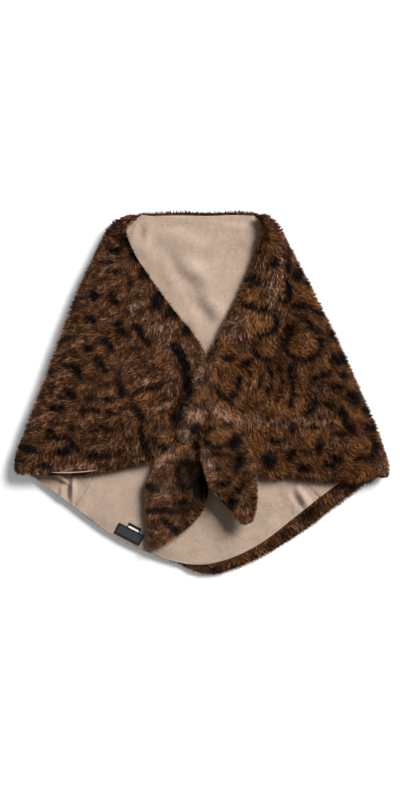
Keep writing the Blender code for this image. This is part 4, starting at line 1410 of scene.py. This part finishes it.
@dataclass
class LiningPanel:
    """One fleece piece, a thin sheet on its solid's form."""

    node: str
    name: str
    flat: Pair  # m
    area: float  # m2
    hold: Hold
    rests_on: tuple[str, ...]
    unevenness: float = 0.5  # mm
    neck_roll: float = 4.0  # how far the pile rolls over the upper edge, mm
    neck_from: Pair = (285.0, 25.0)  # y where that begins, and the fade
    neck_half: Pair = (115.0, 30.0)  # x where it ends, and the fade
    turned: TurnedLine | None = None

    def build(self, solids: Solids, fleece: Material) -> Object:
        """Make the sheet.

        Args:
            solids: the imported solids.
            fleece: its material.

        Returns:
            The piece.
        """
        bm = solids.merged(self.node)
        for pucker in PUCKERS:
            self.refine(bm, *pucker)
        mesh = subdivided(self.name, bm, 2)
        points = read_points(mesh)
        x, y = points[:, 0], points[:, 1]
        lift = sum(crease.lift(x, y) for crease in LINING_CREASES)
        lift = lift + self.unevenness * (ripple(x, y, 46.0, 21) + 0.5 * ripple(x, y, 17.0, 22))
        points[:, 2] += np.maximum(lift, -DEEPEST_CREASE)
        rolled = self.neck_roll * smooth((y - self.neck_from[0]) / self.neck_from[1])
        points[:, 1] -= rolled * smooth((self.neck_half[0] - np.abs(x)) / self.neck_half[1])
        write_points(mesh, points)
        if self.turned:
            bm = self.turned.mesh(solids)
            bm.from_mesh(mesh)
            bm.to_mesh(mesh)
            bm.free()
            mesh.shade_smooth()
        piece = new_object(self.name, mesh, fleece)
        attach(piece, BODY)
        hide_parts(self.node)
        LOG.info("%s: %d faces", self.name, len(mesh.polygons))
        return piece

    @staticmethod
    def refine(bm: BMesh, x: float, y: float, reach: float) -> None:
        """Cut the faces round a place into a fine grid.

        Args:
            bm: the sheet.
            x: the place.
            y: the place.
            reach: how far from it the grid goes.
        """
        for axis, middle in enumerate((x, y)):
            normal = Vector((axis == 0, axis == 1, 0.0))
            for at in np.arange(middle - reach, middle + reach + 0.1, PUCKER_CELL):
                faces = [face for face in bm.faces if LiningPanel.near(face, (x, y), reach)]
                parts = set(faces) | {e for f in faces for e in f.edges} | {v for f in faces for v in f.verts}
                bmesh.ops.bisect_plane(
                    bm, geom=list(parts), dist=0.05 * MM, plane_co=normal * at * MM, plane_no=normal
                )

    @staticmethod
    def near(face: BMFace, place: Pair, reach: float) -> bool:
        """Whether a face comes near a place.

        Args:
            face: the face.
            place: the place.
            reach: how far off it may be, along either axis.

        Returns:
            True where it does.
        """
        return all(
            min(vert.co[axis] for vert in face.verts) < (middle + reach) * MM
            and max(vert.co[axis] for vert in face.verts) > (middle - reach) * MM
            for axis, middle in enumerate(place)
        )


# -------- labels


@dataclass
class Ribbon:
    """A bare woven label, slightly bowed between the stitches at its ends."""

    node: str
    name: str
    x: float
    y: float
    length: float
    width: float
    degrees: float
    border: float = 3.3  # mm of darker selvedge at its long sides
    ends: float = 3.3  # the same at its ends
    thick: float = 0.5
    bow: float = 0.5

    def build(self, face: Material, edge: Material) -> Object:
        """Make the ribbon.

        Args:
            face: the material of its face.
            edge: the material of its selvedge.

        Returns:
            The piece.
        """
        low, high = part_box(self.node)
        bm = bmesh.new()
        bmesh.ops.create_grid(bm, x_segments=30, y_segments=12, size=0.5)
        inset = (0.5 - self.ends / self.length, 0.5 - self.border / self.width)
        for vert in bm.verts:
            vert.co.z = self.bow / self.length * math.cos(math.pi * vert.co.x)
        for poly in bm.faces:
            at = poly.calc_center_median()
            poly.material_index = int(abs(at.x) > inset[0] or abs(at.y) > inset[1])
        scale = Matrix.Diagonal((self.length * MM, self.width * MM, self.length * MM, 1.0))
        turn = Matrix.Rotation(math.radians(self.degrees), 4, "Z")
        place = Matrix.Translation((self.x * MM, self.y * MM, low.z + self.thick * MM / 2))
        bmesh.ops.transform(bm, matrix=place @ turn @ scale, verts=bm.verts)
        bm.normal_update()
        bmesh.ops.solidify(bm, geom=bm.faces[:], thickness=self.thick * MM)
        bmesh.ops.recalc_face_normals(bm, faces=bm.faces)
        mesh = bpy.data.meshes.new(self.name)
        bm.to_mesh(mesh)
        bm.free()
        piece = new_object(self.name, mesh, face, edge)
        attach(piece, BODY)
        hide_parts(self.node)
        LOG.info("%s: %.1f mm over the surface", self.name, high.z / MM)
        return piece


# -------- studio


@dataclass(frozen=True)
class Studio:
    """A white paper floor, soft light from the upper right, and a camera straight above."""

    floor_size: float = 14.0  # m
    fill: float = 0.2  # strength of the even light from all round

    def build(self) -> None:
        """Make the floor, the lights and the camera."""
        scene = bpy.context.scene
        scene.view_settings.view_transform = "Standard"
        bm = bmesh.new()
        bmesh.ops.create_grid(bm, x_segments=1, y_segments=1, size=self.floor_size / 2)
        mesh = bpy.data.meshes.new("floor")
        bm.to_mesh(mesh)
        bm.free()
        floor = new_object("floor", mesh, PaperFinish("matt_white_paper").material())
        world = bpy.data.worlds.new("studio")
        world.use_nodes = True
        sky = world.node_tree.nodes["Background"]
        sky.inputs["Color"].default_value = (1.0, 1.0, 1.0, 1.0)
        sky.inputs["Strength"].default_value = self.fill
        scene.world = world
        self.lamp("key_softbox", azimuth=43.0, elevation=39.0, distance=10.0, size=4.6, watts=1900.0)
        self.camera()

    @staticmethod
    def lamp(
        name: str, azimuth: float, elevation: float, distance: float, size: float, watts: float
    ) -> None:
        """Add a square softbox that faces the garment.

        Args:
            name: its name.
            azimuth: the way it stands, in degrees from +X.
            elevation: how high, in degrees.
            distance: how far, in metres.
            size: its side, in metres.
            watts: its power.
        """
        light = bpy.data.lights.new(name, "AREA")
        light.size = size
        light.energy = watts
        lamp = bpy.data.objects.new(name, light)
        turn, rise = math.radians(azimuth), math.radians(elevation)
        way = Vector((math.cos(turn) * math.cos(rise), math.sin(turn) * math.cos(rise), math.sin(rise)))
        lamp.location = way * distance
        lamp.rotation_euler = way.to_track_quat("Z", "Y").to_euler()
        bpy.context.scene.collection.objects.link(lamp)

    @staticmethod
    def camera() -> None:
        """Put the camera straight above, as far up as the photograph's scale asks."""
        data = bpy.data.cameras.new("camera")
        data.lens = LENS
        data.sensor_width = SENSOR
        camera = bpy.data.objects.new("camera", data)
        height = PHOTO_HEIGHT_PX * MM_PER_PIXEL * LENS / SENSOR + OUTLINE_LEVEL
        camera.location = (VIEW_CENTRE[0] * MM, VIEW_CENTRE[1] * MM, height * MM)
        bpy.context.scene.collection.objects.link(camera)
        bpy.context.scene.camera = camera


# -------- the scarf


class Scarf:
    """The whole garment: its fur pieces, its linings and its labels."""

    def __init__(self) -> None:
        """Lay out the pieces."""
        spots, rings = repeat_of_marks(40.0, 11)
        self.under = Print(spots, rings)
        left = Print(LEFT_SPOTS, LEFT_RINGS, golden=0.45, mottle=1.7, bold=1.15, dim=0.1)
        right = Print(RIGHT_SPOTS, RIGHT_RINGS, golden=0.9, mottle=0.95, bold=1.12)
        tie_left = Print(LEFT_TIE_SPOTS, LEFT_TIE_RINGS, mottle=1.5, dim=0.1)
        tie_right = Print(RIGHT_TIE_SPOTS, RIGHT_TIE_RINGS)
        knot = Print(KNOT_SPOTS, (), dim=0.15, bold=1.4)
        rim = Print(NECK_SPOTS + RIM_SPOTS, (), mottle=1.15, golden=0.1, dim=-0.3)
        laid = (Hold.LAID, ("floor",))
        folded = ((0.48, 0.48), 0.145, Hold.FOLDED, ("floor",))
        self.furs = [
            FurPanel(
                "back_fur", "back_fur", 5.5, 52000, 7.5, BACK_COMB, rim, (0.46, 0.64), 0.19, *laid, 101,
                under_share=1.0, slumps=RIM_SLUMPS,
            ),
            FurPanel(
                "left_side_fur", "left_side", 6.5, 60000, 9.0, LEFT_COMB, left, *folded, 102,
                creases=LEFT_FUR_CREASES,
            ),
            FurPanel(
                "right_side_fur", "right_side", 6.5, 60000, 9.0, RIGHT_COMB, right, *folded, 103,
                creases=RIGHT_FUR_CREASES, slumps=RIGHT_SLUMPS,
            ),
            FurPanel(
                "knot_band", "knot_band", 6.0, 12000, 9.0, BAND_COMB, knot, (0.06, 0.14), 0.0078,
                Hold.GATHERED, ("left_tie_backing",), 104, creases=BAND_CREASES,
            ),
            FurPanel(
                "left_tie", "left_tie", 6.5, 23000, 9.0, LEFT_TIE_COMB, tie_left, (0.1, 0.22), 0.016,
                Hold.GATHERED, (BACK_LINING,), 105, creases=LEFT_TIE_CREASES,
            ),
            FurPanel(
                "right_tie", "right_tie", 6.5, 23000, 9.0, RIGHT_TIE_COMB, tie_right, (0.09, 0.22), 0.0155,
                Hold.GATHERED, ("right_side_backing",), 106, creases=RIGHT_TIE_CREASES,
            ),
        ]
        hem = TurnedLine(HEM_LINE, "left_side_fur")
        half = ((0.46, 0.46), 0.13, Hold.FOLDED)
        self.linings = [
            LiningPanel("back_lining", BACK_LINING, (0.44, 0.62), 0.18, Hold.LAID, ("back_fur_backing",)),
            LiningPanel("left_side_lining", "left_lining_fleece", *half, ("left_side_backing",), turned=hem),
            LiningPanel("right_side_lining", "right_lining_fleece", *half, ("right_side_backing",)),
        ]
        self.label = Ribbon("hem_label", "hem_label_ribbon", -127.7, -249.1, 50.0, 20.0, LABEL_TURN)
        self.tab = Ribbon(
            "size_tab", "size_tab_ribbon", -121.5, -243.1, 25.0, 20.0, LABEL_TURN, border=4.2, ends=2.2
        )

    def build(self, nodes: dict[str, Object]) -> None:
        """Make every piece.

        Args:
            nodes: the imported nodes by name.
        """
        solids = Solids(nodes)
        pile = FurFinish("printed_modacrylic_pile").material()
        # the backing is drawn darker, as painted shade deep in the pile
        backing = FurFinish("knitted_fur_backing", shaded_root_level=0.5).material()
        fleece = FleeceFinish("brushed_polyester_fleece").material()
        navy = RibbonFinish("navy_satin_ribbon", "#2b3036", LABEL_TURN).material()
        black = RibbonFinish("black_satin_selvedge", "#0b0b0c", LABEL_TURN).material()
        white = RibbonFinish("white_satin_tab", "#e9e4dd", LABEL_TURN).material()
        for panel in self.linings:
            panel.build(solids, fleece)
        for panel in self.furs:
            panel.build(solids, self.under, pile, backing)
        self.label.build(navy, black)
        self.tab.build(white, black)


def main() -> None:
    """Load the solids, dress them and set up the studio."""
    logging.basicConfig(level=logging.INFO, format="%(name)s: %(message)s")
    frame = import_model()
    Studio().build()
    Scarf().build(frame["nodes"])


if __name__ == "__main__":
    main()
